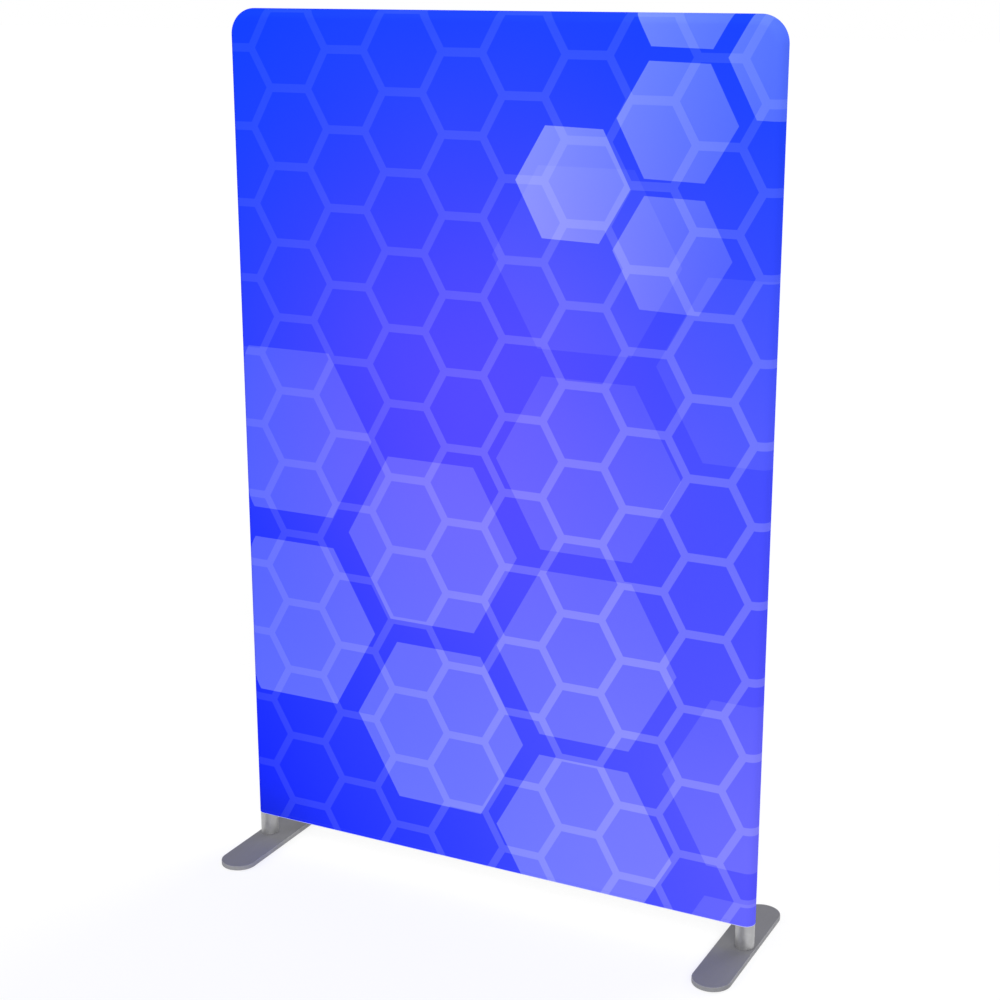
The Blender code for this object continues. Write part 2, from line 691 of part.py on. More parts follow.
def junction_box():
    """The box on the bottom rail that feeds the bars: base, lid, board and power inlet."""
    left = bar_places()[-2] + BAR_WIDTH / 2 + BOX_BAR_GAP
    right = left + BOX_LENGTH
    front, back = -BOX_FRONT, HARNESS_Y - HARNESS_RADIUS - FIT_GAP
    rail_top = BOTTOM_RAIL_Z + TUBE_RADIUS
    floor = rail_top + FIT_GAP + BOX_WALL
    top = rail_top + BOX_HEIGHT
    base = block("junction_box_base", (left, front, rail_top - BOX_SKIRT),
                 (right, back, top), box_plastic())
    room = as_cutter(block("junction_box_room", (left + BOX_WALL, front + BOX_WALL, floor),
                           (right - BOX_WALL, back - BOX_WALL, top + CUT_OVERRUN),
                           box_plastic()))
    overrun = X_AXIS * (BOX_LENGTH / 2 + CUT_OVERRUN)
    middle = Vector(((left + right) / 2, 0, BOTTOM_RAIL_Z))
    saddle = as_cutter(rod("junction_box_saddle", middle - overrun, middle + overrun,
                           TUBE_RADIUS + FIT_GAP, box_plastic(), TUBE_SIDES))
    inlet_y = (front + back) / 2
    inlet_z = (floor + top) / 2
    wall_out = Vector((right, inlet_y, inlet_z))
    hole = as_cutter(rod("junction_box_hole", wall_out - X_AXIS * (BOX_WALL + CUT_OVERRUN),
                         wall_out + X_AXIS * CUT_OVERRUN, INLET_RADIUS + FIT_GAP,
                         box_plastic()))
    for tool in (room, saddle, hole):
        combine(base, tool, "DIFFERENCE")
    lid_low = top + FIT_GAP
    block("junction_box_lid", (left, front, lid_low), (right, back, lid_low + LID_LIP),
          box_plastic())
    edge = BOX_WALL + BOARD_MARGIN
    block("junction_board", (left + edge, front + edge, floor + FIT_GAP),
          (right - edge, back - edge, floor + FIT_GAP + BOARD_THICKNESS), board_laminate())
    flange_low = FIT_GAP
    flange_high = flange_low + INLET_FLANGE
    shape = [(0, flange_high - INLET_BORE_DEPTH), (INLET_BORE, flange_high - INLET_BORE_DEPTH),
             (INLET_BORE, flange_high), (INLET_FLANGE_RADIUS, flange_high),
             (INLET_FLANGE_RADIUS, flange_low), (INLET_RADIUS, flange_low),
             (INLET_RADIUS, flange_high - INLET_LENGTH), (0, flange_high - INLET_LENGTH)]
    turned("power_inlet", shape, wall_out, X_AXIS, box_plastic())


def light_harness():
    """The lead clipped along the bottom rail behind the bars."""
    height = BOTTOM_RAIL_Z + chord(TUBE_RADIUS + FIT_GAP + HARNESS_RADIUS, HARNESS_Y)
    reach = max(bar_places()) + HARNESS_OVERHANG
    rod("light_harness", Vector((-reach, HARNESS_Y, height)),
        Vector((reach, HARNESS_Y, height)), HARNESS_RADIUS, box_plastic())


def lighting():
    """Light bars with their lenses, the junction box and the lead between them."""
    for number, place in enumerate(bar_places(), 1):
        low, high = light_bar(number, place)
        light_lens(number, place, low, high)
    junction_box()
    light_harness()


def main():
    """Builds the display wall."""
    clear_scene()
    for label, side in SIDES.items():
        foot(label, side)
    frame()
    sleeve()
    lighting()


main()
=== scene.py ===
"""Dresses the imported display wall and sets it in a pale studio.

The printed sleeve, its liner and zip, the lower posts, the feet and the lenses are modelled in full
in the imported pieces' places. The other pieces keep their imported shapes, with their facets joined and
smoothed and some edges rounded, in a finish of their own.

Metres, +Z up. The print faces -Y, and the origin is on the floor, midway between the feet.
"""
from __future__ import annotations

import logging
import math
from dataclasses import dataclass
from enum import Enum
from typing import Any, Callable, Iterable, Mapping, Sequence, Union

import bmesh
import bpy
from bmesh.types import BMEdge, BMFace, BMVert
from mathutils import Matrix, Vector


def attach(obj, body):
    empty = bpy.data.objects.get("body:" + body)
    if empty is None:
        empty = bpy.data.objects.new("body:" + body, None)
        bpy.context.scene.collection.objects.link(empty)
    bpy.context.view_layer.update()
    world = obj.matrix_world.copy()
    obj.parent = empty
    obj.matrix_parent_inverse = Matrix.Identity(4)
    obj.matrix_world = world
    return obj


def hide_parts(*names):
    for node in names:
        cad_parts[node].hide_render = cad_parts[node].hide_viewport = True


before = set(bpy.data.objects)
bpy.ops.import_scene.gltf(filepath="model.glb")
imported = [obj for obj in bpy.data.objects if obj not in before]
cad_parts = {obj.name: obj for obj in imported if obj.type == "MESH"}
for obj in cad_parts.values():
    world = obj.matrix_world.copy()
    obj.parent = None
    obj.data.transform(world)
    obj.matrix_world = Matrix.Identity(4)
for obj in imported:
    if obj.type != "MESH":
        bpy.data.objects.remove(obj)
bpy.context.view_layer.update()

log = logging.getLogger("display wall")

X_AXIS = Vector((1, 0, 0))
Y_AXIS = Vector((0, 1, 0))
Z_AXIS = Vector((0, 0, 1))
SIDES = {"left": -1, "right": 1}
MERGE = 0.00001
CLOTH_MAP = "cloth"
SOFT_ANGLE = math.radians(35)
FLAT_ANGLE = math.radians(1)
FACE_WEIGHT = 100
HALF_TURN = math.pi
QUARTER_TURN = math.pi / 2
WHITE = (1.0, 1.0, 1.0)

# Places and sizes that several pieces share
POST_X = 0.7361
HEM = 0.082
HEM_TURN = 0.009
CLOTH = 0.0006
FOOT_X = 0.7161
FOOT_LENGTH = 0.472
FOOT_WIDTH = 0.102

# The curve from display values to linear light
DISPLAY_OFFSET = 0.055
DISPLAY_POWER = 2.4

Geometry = Union[BMVert, BMEdge, BMFace]
Pair = tuple[float, float]
Place = tuple[float, float, float]
Colour = tuple[float, float, float]
Operand = Union["Value", float]


class Slot(Enum):
    """The record's material slots."""

    PRINT = "print_cloth"
    LINER = "liner_cloth"
    TUBE = "anodised_tube"
    CAST = "cast_alloy"
    FOOT = "foot_coating"
    PLATED = "plated_steel"
    ZIP_METAL = "zip_metal"
    PAD = "pad_rubber"
    TAPE = "zip_tape"
    BAR = "bar_alloy"
    LENS = "lens_plastic"
    BOX = "box_plastic"
    SHEATH = "harness_sheath"
    BOARD = "board_laminate"


class Axis(Enum):
    """The way that a drawn or brushed metal runs."""

    ALONG_X = 0
    ALONG_Z = 2


# Shader graphs


class Value:
    """A number that varies over a surface. Python's operators on it add Math nodes."""

    def __init__(self, graph: "Graph", socket: bpy.types.NodeSocket) -> None:
        """Wraps one output socket of a graph."""
        self.graph = graph
        self.socket = socket

    def __add__(self, other: Operand) -> "Value":
        """The sum."""
        return self.graph.maths("ADD", self, other)

    __radd__ = __add__

    def __sub__(self, other: Operand) -> "Value":
        """The difference."""
        return self.graph.maths("SUBTRACT", self, other)

    def __rsub__(self, other: Operand) -> "Value":
        """A number less this value."""
        return self.graph.maths("SUBTRACT", other, self)

    def __mul__(self, other: Operand) -> "Value":
        """The product."""
        return self.graph.maths("MULTIPLY", self, other)

    __rmul__ = __mul__

    def __truediv__(self, other: Operand) -> "Value":
        """The quotient."""
        return self.graph.maths("DIVIDE", self, other)

    def __pow__(self, power: Operand) -> "Value":
        """This value to a power."""
        return self.graph.maths("POWER", self, power)

    def __abs__(self) -> "Value":
        """The value without its sign."""
        return self.graph.maths("ABSOLUTE", self)

    def highest(self, other: Operand) -> "Value":
        """The higher of the two."""
        return self.graph.maths("MAXIMUM", self, other)

    def lowest(self, other: Operand) -> "Value":
        """The lower of the two."""
        return self.graph.maths("MINIMUM", self, other)

    def rounded(self) -> "Value":
        """The nearest whole number."""
        return self.graph.maths("ROUND", self)

    def fraction(self) -> "Value":
        """What is left past the whole number below."""
        return self.graph.maths("FRACT", self)

    def sine(self) -> "Value":
        """The sine of an angle in radians."""
        return self.graph.maths("SINE", self)

    def exponential(self) -> "Value":
        """The number e to this power."""
        return self.graph.maths("EXPONENT", self)

    def held(self) -> "Value":
        """The value kept between 0 and 1."""
        return self.highest(0.0).lowest(1.0)

    def linear(self) -> "Value":
        """The linear light of a display value."""
        return ((self + DISPLAY_OFFSET) / (1 + DISPLAY_OFFSET)) ** DISPLAY_POWER

    def band(self, middle: float, half_width: float, softness: float) -> "Value":
        """1 within half_width of the middle, falling to 0 over the softness."""
        return ((half_width - abs(self - middle)) / softness + 0.5).held()


class Graph:
    """The nodes of one material or world."""

    def __init__(self, owner: bpy.types.Material | bpy.types.World) -> None:
        """Empties the owner's nodes.

        Args:
            owner: The new material or world.
        """
        owner.use_nodes = True
        self.owner = owner
        self.tree = owner.node_tree
        self.tree.nodes.clear()

    def node(self, kind: str, settings: Mapping[str, Any] | None = None,
             inputs: Mapping[int | str, Any] | None = None) -> bpy.types.Node:
        """Adds one node.

        Args:
            kind: The node's type, without its ShaderNode prefix.
            settings: Its properties, set before its sockets.
            inputs: A value, Value or socket for each input, by name or number.

        Returns:
            The node.
        """
        node = self.tree.nodes.new("ShaderNode" + kind)
        for name, setting in (settings or {}).items():
            setattr(node, name, setting)
        for key, given in (inputs or {}).items():
            socket = node.inputs[key]
            if isinstance(given, Value):
                self.tree.links.new(given.socket, socket)
            elif isinstance(given, bpy.types.NodeSocket):
                self.tree.links.new(given, socket)
            elif socket.type == "RGBA" and len(given) == 3:
                socket.default_value = (*given, 1.0)
            else:
                socket.default_value = given
        return node

    def maths(self, operation: str, *operands: Operand) -> Value:
        """Adds a Math node on values or numbers and returns its result."""
        node = self.node("Math", {"operation": operation}, dict(enumerate(operands)))
        return Value(self, node.outputs[0])

    def place(self) -> bpy.types.NodeSocket:
        """The point on the piece, in metres, which moves with the piece."""
        return self.node("TexCoord").outputs["Object"]

    def cloth_place(self) -> bpy.types.NodeSocket:
        """The point on the flat cloth, in metres."""
        return self.node("UVMap", {"uv_map": CLOTH_MAP}).outputs["UV"]

    def parts(self, vector: bpy.types.NodeSocket) -> list[Value]:
        """The three components of a vector."""
        node = self.node("SeparateXYZ", inputs={0: vector})
        return [Value(self, output) for output in node.outputs]

    def looked_at(self) -> Value:
        """1 for rays that look, straight, in a reflection or through glass, and 0 for light."""
        rays = self.node("LightPath").outputs
        straight, mirrored, through = (Value(self, rays[f"Is {kind} Ray"])
                                       for kind in ("Camera", "Glossy", "Transmission"))
        return straight.highest(mirrored).highest(through)

    def stretched(self, vector: bpy.types.NodeSocket, scale: Place,
                  turn: Place = (0.0, 0.0, 0.0)) -> bpy.types.NodeSocket:
        """The vector scaled, and turned about the origin, by a Mapping node."""
        return self.node("Mapping", inputs={"Vector": vector, "Scale": scale,
                                            "Rotation": turn}).outputs[0]

    def noise(self, vector: bpy.types.NodeSocket, scale: float, detail: float = 3.0,
              roughness: float = 0.5) -> Value:
        """Noise about 0.5, of scale features to the metre."""
        node = self.node("TexNoise", {"noise_dimensions": "3D"},
                         {"Vector": vector, "Scale": scale, "Detail": detail,
                          "Roughness": roughness})
        return Value(self, node.outputs[0])

    def cells(self, vector: bpy.types.NodeSocket, scale: float) -> Value:
        """The distance to the nearest of scattered points, scale of them to the metre."""
        node = self.node("TexVoronoi", {"feature": "F1"}, {"Vector": vector, "Scale": scale})
        return Value(self, node.outputs["Distance"])

    def mix(self, share: Operand, first: Any, second: Any) -> bpy.types.NodeSocket:
        """Mixes two colours by a share from 0, all first, to 1, all second."""
        return self.node("Mix", {"data_type": "RGBA"}, {0: share, 6: first, 7: second}).outputs[2]

    def combined(self, channels: Sequence[Operand]) -> bpy.types.NodeSocket:
        """The colour of three channels."""
        return self.node("CombineColor", inputs=dict(enumerate(channels))).outputs[0]

    def shaded(self, colour: Colour, change: Value) -> bpy.types.NodeSocket:
        """The colour times a factor that varies about 1."""
        grey = self.combined([change] * 3)
        return self.node("Mix", {"data_type": "RGBA", "blend_type": "MULTIPLY",
                                 "clamp_result": True},
                         {0: 1.0, 6: colour, 7: grey}).outputs[2]

    def bump(self, height: Value, depth: float, strength: float) -> bpy.types.NodeSocket:
        """A normal for a height of 0 to 1 that stands for the depth in metres."""
        return self.node("Bump", inputs={"Height": height, "Distance": depth,
                                         "Strength": strength}).outputs[0]

    def surface(self, inputs: Mapping[str, Any]) -> bpy.types.Material:
        """Ends the graph in a Principled shader with those inputs."""
        shader = self.node("BsdfPrincipled", inputs=inputs)
        return self.out(shader.outputs[0])

    def out(self, shader: bpy.types.NodeSocket) -> bpy.types.Material:
        """Ends the graph in that shader and returns the material."""
        self.node("OutputMaterial", {"target": "ALL"}, {0: shader})
        return self.owner


# Finishes


@dataclass(frozen=True)
class Finish:
    """A finish, whose material is made on its first use."""

    name: str

    def material(self) -> bpy.types.Material:
        """Returns the finish's material."""
        return bpy.data.materials.get(self.name) or self.make(
            Graph(bpy.data.materials.new(self.name)))

    def make(self, graph: Graph) -> bpy.types.Material:
        """Fills the graph and returns its material."""
        raise NotImplementedError


@dataclass(frozen=True)
class Cloth(Finish):
    """A cloth, with the fields that every cloth has."""

    crease_half: float = 0.0003
    crease_soft: float = 0.0008
    crease_depth: float = 2.0

    def crease(self, up: Value) -> Value:
        """The mask of the line along which a hem is turned up and sewn."""
        return (up - HEM).band(HEM_TURN, self.crease_half, self.crease_soft)


@dataclass(frozen=True)
class Glow:
    """A soft patch in the printed ground, in display values of red and green."""

    centre: Pair
    spread: Pair
    red: float
    green: float


class HexagonKind(Enum):
    """Half the height of a see-through hexagon, its turn, and how it whitens across and up."""

    SMALL = (0.1376, math.radians(1.5), -0.048, 0.026)
    LARGE = (0.2283, 0.0, -0.012, -0.028)
    FAINT = (0.2281, 0.0, -0.005, -0.01)


@dataclass(frozen=True)
class Hexagon:
    """A see-through white hexagon in the print, with its flats above and below."""

    kind: HexagonKind
    centre: Pair
    strength: float


@dataclass(frozen=True)
class PrintedKnit(Cloth):
    """Backlit stretch knit, printed with a blue ground, a honeycomb and large hexagons.

    The shades are display values from 0 to 1, because the printed whites are laid over them there.
    """

    ground: Pair = (0.038, 0.249)
    glows: tuple[Glow, ...] = (
        Glow((-0.04, 1.31), (0.82, 0.86), 0.343, 0.291),
        Glow((-1.59, -0.96), (1.77, 1.77), 0.028, 0.026),
        Glow((1.12, 0.28), (1.42, 1.42), 0.357, 0.344),
    )
    clouds: float = 0.03
    cloud_scale: float = 1.7
    # Painted shade: a soft dark patch in the lower-left corner, by the hem, dims all three channels
    painted_shade_centre: Pair = (-0.76, 0.06)
    painted_shade_spread: Pair = (0.19, 0.1)
    painted_shade: float = 0.12
    painted_shade_red: float = 0.1
    painted_shade_green: float = 0.05
    cell_centre: Pair = (-0.7462, 2.3658)
    cell_height: float = 0.2017
    column_pitch: float = 0.16963
    line_width: float = 0.0219
    line_faint: float = 0.054
    line_clear: float = 0.205
    line_centre: Pair = (0.53, 0.78)
    line_spread: Pair = (1.07, 1.23)
    squeeze: float = 0.971
    edge: float = 0.001
    hexagons: tuple[Hexagon, ...] = (
        Hexagon(HexagonKind.SMALL, (0.2344, 1.9567), 0.334),
        Hexagon(HexagonKind.SMALL, (0.5037, 2.1157), 0.276),
        Hexagon(HexagonKind.SMALL, (0.498, 1.7999), 0.211),
        Hexagon(HexagonKind.SMALL, (0.5155, 2.4239), 0.327),
        Hexagon(HexagonKind.SMALL, (0.7811, 2.2621), 0.235),
        Hexagon(HexagonKind.LARGE, (-0.6035, 1.2448), 0.166),
        Hexagon(HexagonKind.LARGE, (-0.6036, 0.7016), 0.246),
        Hexagon(HexagonKind.LARGE, (-0.1694, 0.9829), 0.186),
        Hexagon(HexagonKind.LARGE, (-0.1502, 0.4623), 0.249),
        Hexagon(HexagonKind.LARGE, (0.2819, 1.245), 0.115),
        Hexagon(HexagonKind.LARGE, (0.2825, 0.7322), 0.18),
        Hexagon(HexagonKind.LARGE, (0.282, 0.2165), 0.246),
        Hexagon(HexagonKind.FAINT, (0.2706, 1.7715), 0.06),
        Hexagon(HexagonKind.FAINT, (0.7203, 1.5274), 0.061),
        Hexagon(HexagonKind.LARGE, (0.7612, 0.4602), 0.105),
        Hexagon(HexagonKind.LARGE, (0.7593, -0.0828), 0.122),
    )
    lit_share: float = 0.84
    glow_share: float = 0.24
    wale: float = 0.0011
    course: float = 0.0009
    knit_depth: float = 0.00012
    knit_shade: float = 0.03
    knit_relief: float = 0.6
    # Painted shade along the line where the hem is turned up
    crease_painted_shade: float = 0.06
    undyed_edge: float = 0.0014
    undyed_soft: float = 0.0003
    undyed_share: float = 0.7

    def hexagonal(self, across: Value, up: Value) -> Value:
        """How far out a point is from a hexagon's middle, measured square to its flats."""
        rise = abs(up)
        return rise.highest(abs(across) * (math.sqrt(3) / 2) + rise * 0.5)

    def honeycomb(self, x: Value, z: Value) -> Value:
        """The mask of the honeycomb's lines.

        Args:
            x: The place across the cloth.
            z: The place up the cloth.

        Returns:
            1 on a line and 0 in a cell.
        """
        regular_pitch = self.cell_height * math.sqrt(3) / 2
        reaches = []
        for column, row in ((0.0, 0.0), (self.column_pitch, self.cell_height / 2)):
            across = x - (self.cell_centre[0] + column)
            up = z - (self.cell_centre[1] + row)
            width = 2 * self.column_pitch
            across = across - (across / width).rounded() * width
            up = up - (up / self.cell_height).rounded() * self.cell_height
            reaches.append(self.hexagonal(across * (regular_pitch / self.column_pitch), up))
        inside = self.cell_height / 2 - reaches[0].lowest(reaches[1])
        return ((self.line_width / 2 - inside) / self.edge + 0.5).held()

    def whitened(self, hexagon: Hexagon, x: Value, z: Value) -> Value:
        """How much white one see-through hexagon lays over the ground.

        Args:
            hexagon: The hexagon.
            x: The place across the cloth.
            z: The place up the cloth.

        Returns:
            Its share of white, which is 0 outside it.
        """
        half_height, turn, across_change, up_change = hexagon.kind.value
        across, up = x - hexagon.centre[0], z - hexagon.centre[1]
        if turn:
            cosine, sine = math.cos(turn), math.sin(turn)
            across, up = across * cosine - up * sine, up * cosine + across * sine
        reach = self.hexagonal(across * (1 / self.squeeze), up)
        mask = ((half_height - reach) / self.edge + 0.5).held()
        change = across * (across_change / half_height) + up * (up_change / half_height)
        return mask * (change + hexagon.strength)

    def soft(self, x: Value, z: Value, centre: Pair, spread: Pair) -> Value:
        """A soft patch, fading out from its centre.

        Args:
            x: The place across the cloth.
            z: The place up the cloth.
            centre: The middle of the patch.
            spread: How far out it falls to about a third, across and up.

        Returns:
            1 at the centre, falling towards 0.
        """
        across = (x - centre[0]) / spread[0]
        up = (z - centre[1]) / spread[1]
        return ((across * across + up * up) * -1.0).exponential()

    def make(self, graph: Graph) -> bpy.types.Material:
        """Builds the ground, the honeycomb, the large hexagons and the knit.

        Args:
            graph: The new material's nodes.

        Returns:
            The material.
        """
        cloth = graph.cloth_place()
        x, z, _ = graph.parts(cloth)
        red: Operand = self.ground[0]
        green: Operand = self.ground[1]
        for glow in self.glows:
            share = self.soft(x, z, glow.centre, glow.spread)
            red = red + share * (glow.red - red)
            green = green + share * (glow.green - green)
        cloud = (graph.noise(cloth, self.cloud_scale, 1.0) - 0.5) * self.clouds
        # Painted shade, darkest at the lower-left corner near the hem
        painted_shade = self.soft(x, z, self.painted_shade_centre, self.painted_shade_spread) * self.painted_shade
        clear = self.soft(x, z, self.line_centre, self.line_spread)
        strength = clear * (self.line_clear - self.line_faint) + self.line_faint
        kept = 1 - self.honeycomb(x, z) * strength
        for hexagon in self.hexagons:
            kept = kept * (1 - self.whitened(hexagon, x, z))
        undyed = ((HEM + self.undyed_edge - z) / self.undyed_soft).held()
        kept = kept * (1 - undyed * self.undyed_share)
        stitches = (x * (math.tau / self.wale)).sine() * (z * (math.tau / self.course)).sine()
        crease = self.crease(z)
        # The crease term is painted shade along the hem's turn; the stitches are the knit's own texture
        tone = 1 - stitches * self.knit_shade - crease * self.crease_painted_shade
        shades = (red + cloud - painted_shade * self.painted_shade_red, green + cloud - painted_shade * self.painted_shade_green,
                  1 - painted_shade)
        channels = [(1 - (1 - shade) * kept).linear() for shade in shades]
        height = stitches * 0.5 - crease * self.crease_depth + 0.5
        return graph.surface({
            "Base Color": graph.combined([channel * tone * self.lit_share for channel in channels]),
            "Roughness": 0.95, "Specular IOR Level": 0.0,
            "Emission Color": graph.combined(channels), "Emission Strength": self.glow_share,
            "Normal": graph.bump(height, self.knit_depth, self.knit_relief)})


@dataclass(frozen=True)
class WovenCloth(Cloth):
    """Plain or herringbone cloth in one colour, with slubs along its threads."""

    colour: Colour = (0.82, 0.82, 0.83)
    thread: float = 0.0012
    depth: float = 0.00018
    chevron: float = 0.0
    hemmed: bool = False
    shade: float = 0.05
    slub_scale: float = 420.0
    slub_stretch: Place = (1.0, 0.08, 1.0)
    slub_shade: float = 0.08
    slub_height: float = 0.2
    soil_scale: float = 2.3
    soil_shade: float = 0.035
    # Painted shade along the line where the hem is turned up
    crease_painted_shade: float = 0.07
    relief: float = 0.7

    def make(self, graph: Graph) -> bpy.types.Material:
        """Builds the weave on the cloth's own map.

        Args:
            graph: The new material's nodes.

        Returns:
            The material.
        """
        cloth = graph.cloth_place()
        x, z, _ = graph.parts(cloth)
        if self.chevron:
            lean = abs((z / self.chevron).fraction() - 0.5) * self.chevron
            weave = ((x + lean) * (math.tau / self.thread)).sine() * 0.5 + 0.5
        else:
            weft = (x * (math.tau / self.thread)).sine()
            warp = (z * (math.tau / self.thread)).sine()
            weave = weft * warp * 0.5 + 0.5
        slubs = graph.noise(graph.stretched(cloth, self.slub_stretch), self.slub_scale, 2.0)
        soil = graph.noise(cloth, self.soil_scale)
        tone = (1 - self.shade * weave - (slubs - 0.5) * self.slub_shade
                - (soil - 0.5) * self.soil_shade)
        height = weave * (1 - self.slub_height) + slubs * self.slub_height
        if self.hemmed:
            crease = self.crease(z)
            # Painted shade along the hem's turn, with a real dip in the bump
            tone = tone - crease * self.crease_painted_shade
            height = height - crease * self.crease_depth
        return graph.surface({
            "Base Color": graph.shaded(self.colour, tone), "Roughness": 0.9,
            "Specular IOR Level": 0.15, "Normal": graph.bump(height, self.depth, self.relief)})


@dataclass(frozen=True)
class SatinMetal(Finish):
    """Drawn, brushed or cast metal: lines along it, soft mottling and fine pits."""

    colour: Colour = (0.6, 0.6, 0.61)
    roughness: float = 0.36
    along: Axis = Axis.ALONG_Z
    lines: float = 0.06
    mottle: float = 0.1
    grain: float = 1400.0
    depth: float = 0.00002
    line_stretch: float = 0.015
    line_rough: float = 0.08
    line_height: float = 0.6
    mottle_scale: float = 55.0
    mottle_blend: float = 0.62
    mottle_rough: float = 0.18
    pit_scale: float = 700.0
    relief: float = 0.5

    def make(self, graph: Graph) -> bpy.types.Material:
        """Builds the lines and the mottling on the piece's own place.

        Args:
            graph: The new material's nodes.

        Returns:
            The material.
        """
        place = graph.place()
        scale = [1.0, 1.0, 1.0]
        scale[self.along.value] = self.line_stretch
        drawn = graph.noise(graph.stretched(place, tuple(scale)), self.grain, 2.0)
        mottled = graph.noise(place, self.mottle_scale, 4.0, self.mottle_blend)
        pits = graph.noise(place, self.pit_scale, 2.0)
        tone = 1 + (drawn - 0.5) * self.lines + (mottled - 0.5) * self.mottle
        rough = (self.roughness + (mottled - 0.5) * self.mottle_rough
                 + (drawn - 0.5) * self.line_rough)
        height = drawn * self.line_height + pits * (1 - self.line_height)
        return graph.surface({
            "Base Color": graph.shaded(self.colour, tone), "Metallic": 1.0, "Roughness": rough,
            "Normal": graph.bump(height, self.depth, self.relief)})


@dataclass(frozen=True)
class PowderCoat(Finish):
    """Baked coating with a fine orange peel, lighter round the plate's rim: partly wear, partly a
    painted highlight on the top edge and the side faces.
    """

    colour: Colour = (0.182, 0.182, 0.198)
    # The rim's lighter colour: partly wear, partly painted highlight
    wear_and_highlight_colour: Colour = (0.37, 0.37, 0.385)
    edge: float = 0.0022
    wear_and_highlight: float = 0.7
    wear_and_highlight_change: float = 1.2
    roughness: float = 0.6
    dust_scale: float = 14.0
    dust_shade: float = 0.14
    dust_rough: float = 0.2
    peel_scale: float = 520.0
    peel_shade: float = 0.06
    scuff_scale: float = 90.0
    scuff_stretch: Place = (1.0, 0.2, 1.0)
    scuff_turn: Place = (0.0, 0.0, 0.5)
    scuff_shade: float = 0.08
    depth: float = 0.00006
    relief: float = 0.5

    def make(self, graph: Graph) -> bpy.types.Material:
        """Builds the peel, the dust, and the wear and painted highlight round the plate's outline.

        Args:
            graph: The new material's nodes.

        Returns:
            The material.
        """
        place = graph.place()
        x, y, _ = graph.parts(place)
        across = abs(x) - FOOT_X
        beyond = (abs(y) - (FOOT_LENGTH - FOOT_WIDTH) / 2).highest(0.0)
        reach = (across * across + beyond * beyond) ** 0.5
        # The rim band takes in the top edge and all of the side faces, which are lightened: painted
        # highlight with some wear
        rim = ((reach - (FOOT_WIDTH / 2 - self.edge)) / self.edge).held()
        peel = graph.noise(place, self.peel_scale, 2.0)
        dust = graph.noise(place, self.dust_scale, 5.0, 0.6)
        scuffs = graph.noise(graph.stretched(place, self.scuff_stretch, self.scuff_turn),
                             self.scuff_scale, 4.0)
        wear_and_highlight = (rim * (self.wear_and_highlight + (dust - 0.5) * self.wear_and_highlight_change)).held()
        tone = (1 + (dust - 0.5) * self.dust_shade + (peel - 0.5) * self.peel_shade
                + (scuffs - 0.5) * self.scuff_shade)
        colour = graph.mix(wear_and_highlight, graph.shaded(self.colour, tone), self.wear_and_highlight_colour)
        return graph.surface({
            "Base Color": colour, "Roughness": self.roughness + (dust - 0.5) * self.dust_rough,
            "Specular IOR Level": 0.15, "Normal": graph.bump(peel, self.depth, self.relief)})


@dataclass(frozen=True)
class Moulded(Finish):
    """Moulded plastic, rubber or lacquer with an even spark-eroded grain."""

    colour: Colour = (0.05, 0.05, 0.055)
    roughness: float = 0.5
    grain: float = 1100.0
    depth: float = 0.00004
    variation: float = 0.1
    clear: float = 0.0
    refraction: float = 1.49
    patch_scale: float = 30.0
    patch_rough: float = 0.16
    grain_share: float = 0.4
    relief: float = 0.6

    def make(self, graph: Graph) -> bpy.types.Material:
        """Builds the grain on the piece's own place.

        Args:
            graph: The new material's nodes.

        Returns:
            The material.
        """
        place = graph.place()
        cells = graph.cells(place, self.grain)
        patches = graph.noise(place, self.patch_scale, 4.0, 0.6)
        tone = (1 + (patches - 0.5) * self.variation
                - cells * self.variation * self.grain_share)
        return graph.surface({
            "Base Color": graph.shaded(self.colour, tone),
            "Roughness": self.roughness + (patches - 0.5) * self.patch_rough,
            "Transmission Weight": self.clear, "IOR": self.refraction,
            "Normal": graph.bump(cells, self.depth, self.relief)})


@dataclass(frozen=True)
class Laminate(Finish):
    """Circuit board: green lacquer over copper tracks, with bare tinned pads."""

    colour: Colour = (0.03, 0.17, 0.07)
    track: Colour = (0.05, 0.27, 0.11)
    tinned: Colour = (0.6, 0.6, 0.58)
    pitch: float = 0.0051
    track_half: float = 0.12
    pad_radius: float = 0.2
    edge: float = 0.05
    pad_metal: float = 0.9
    roughness: float = 0.42
    pad_polish: float = 0.12
    grain_scale: float = 900.0
    grain_rough: float = 0.1
    depth: float = 0.00004
    relief: float = 0.6

    def make(self, graph: Graph) -> bpy.types.Material:
        """Builds the tracks and pads on a grid.

        Args:
            graph: The new material's nodes.

        Returns:
            The material.
        """
        place = graph.place()
        x, y, _ = graph.parts(place)
        across = (x / self.pitch).fraction() - 0.5
        along = (y / self.pitch).fraction() - 0.5
        tracks = across.band(0.0, self.track_half, self.edge)
        reach = (across * across + along * along) ** 0.5
        pads = 1 - ((reach - self.pad_radius) / self.edge + 0.5).held()
        grain = graph.noise(place, self.grain_scale, 2.0)
        lacquer = graph.mix(tracks, self.colour, self.track)
        return graph.surface({
            "Base Color": graph.mix(pads, lacquer, self.tinned), "Metallic": pads * self.pad_metal,
            "Roughness": (self.roughness - pads * self.pad_polish
                          + (grain - 0.5) * self.grain_rough),
            "Normal": graph.bump(tracks * 0.5 + grain * 0.5, self.depth, self.relief)})


@dataclass(frozen=True)
class StudioFloor(Finish):
    """White floor: the camera sees it near white, and it keeps a soft shadow."""

    bounce: float = 0.3
    seen: float = 0.72

    def make(self, graph: Graph) -> bpy.types.Material:
        """Adds a steady white, for what looks at the floor, to a diffuse floor.

        Args:
            graph: The new material's nodes.

        Returns:
            The material.
        """
        lit = graph.node("BsdfDiffuse", inputs={"Color": (self.bounce,) * 3})
        white = graph.node("Emission", inputs={"Color": WHITE,
                                               "Strength": graph.looked_at() * self.seen})
        return graph.out(graph.node("AddShader", inputs={
            0: lit.outputs[0], 1: white.outputs[0]}).outputs[0])


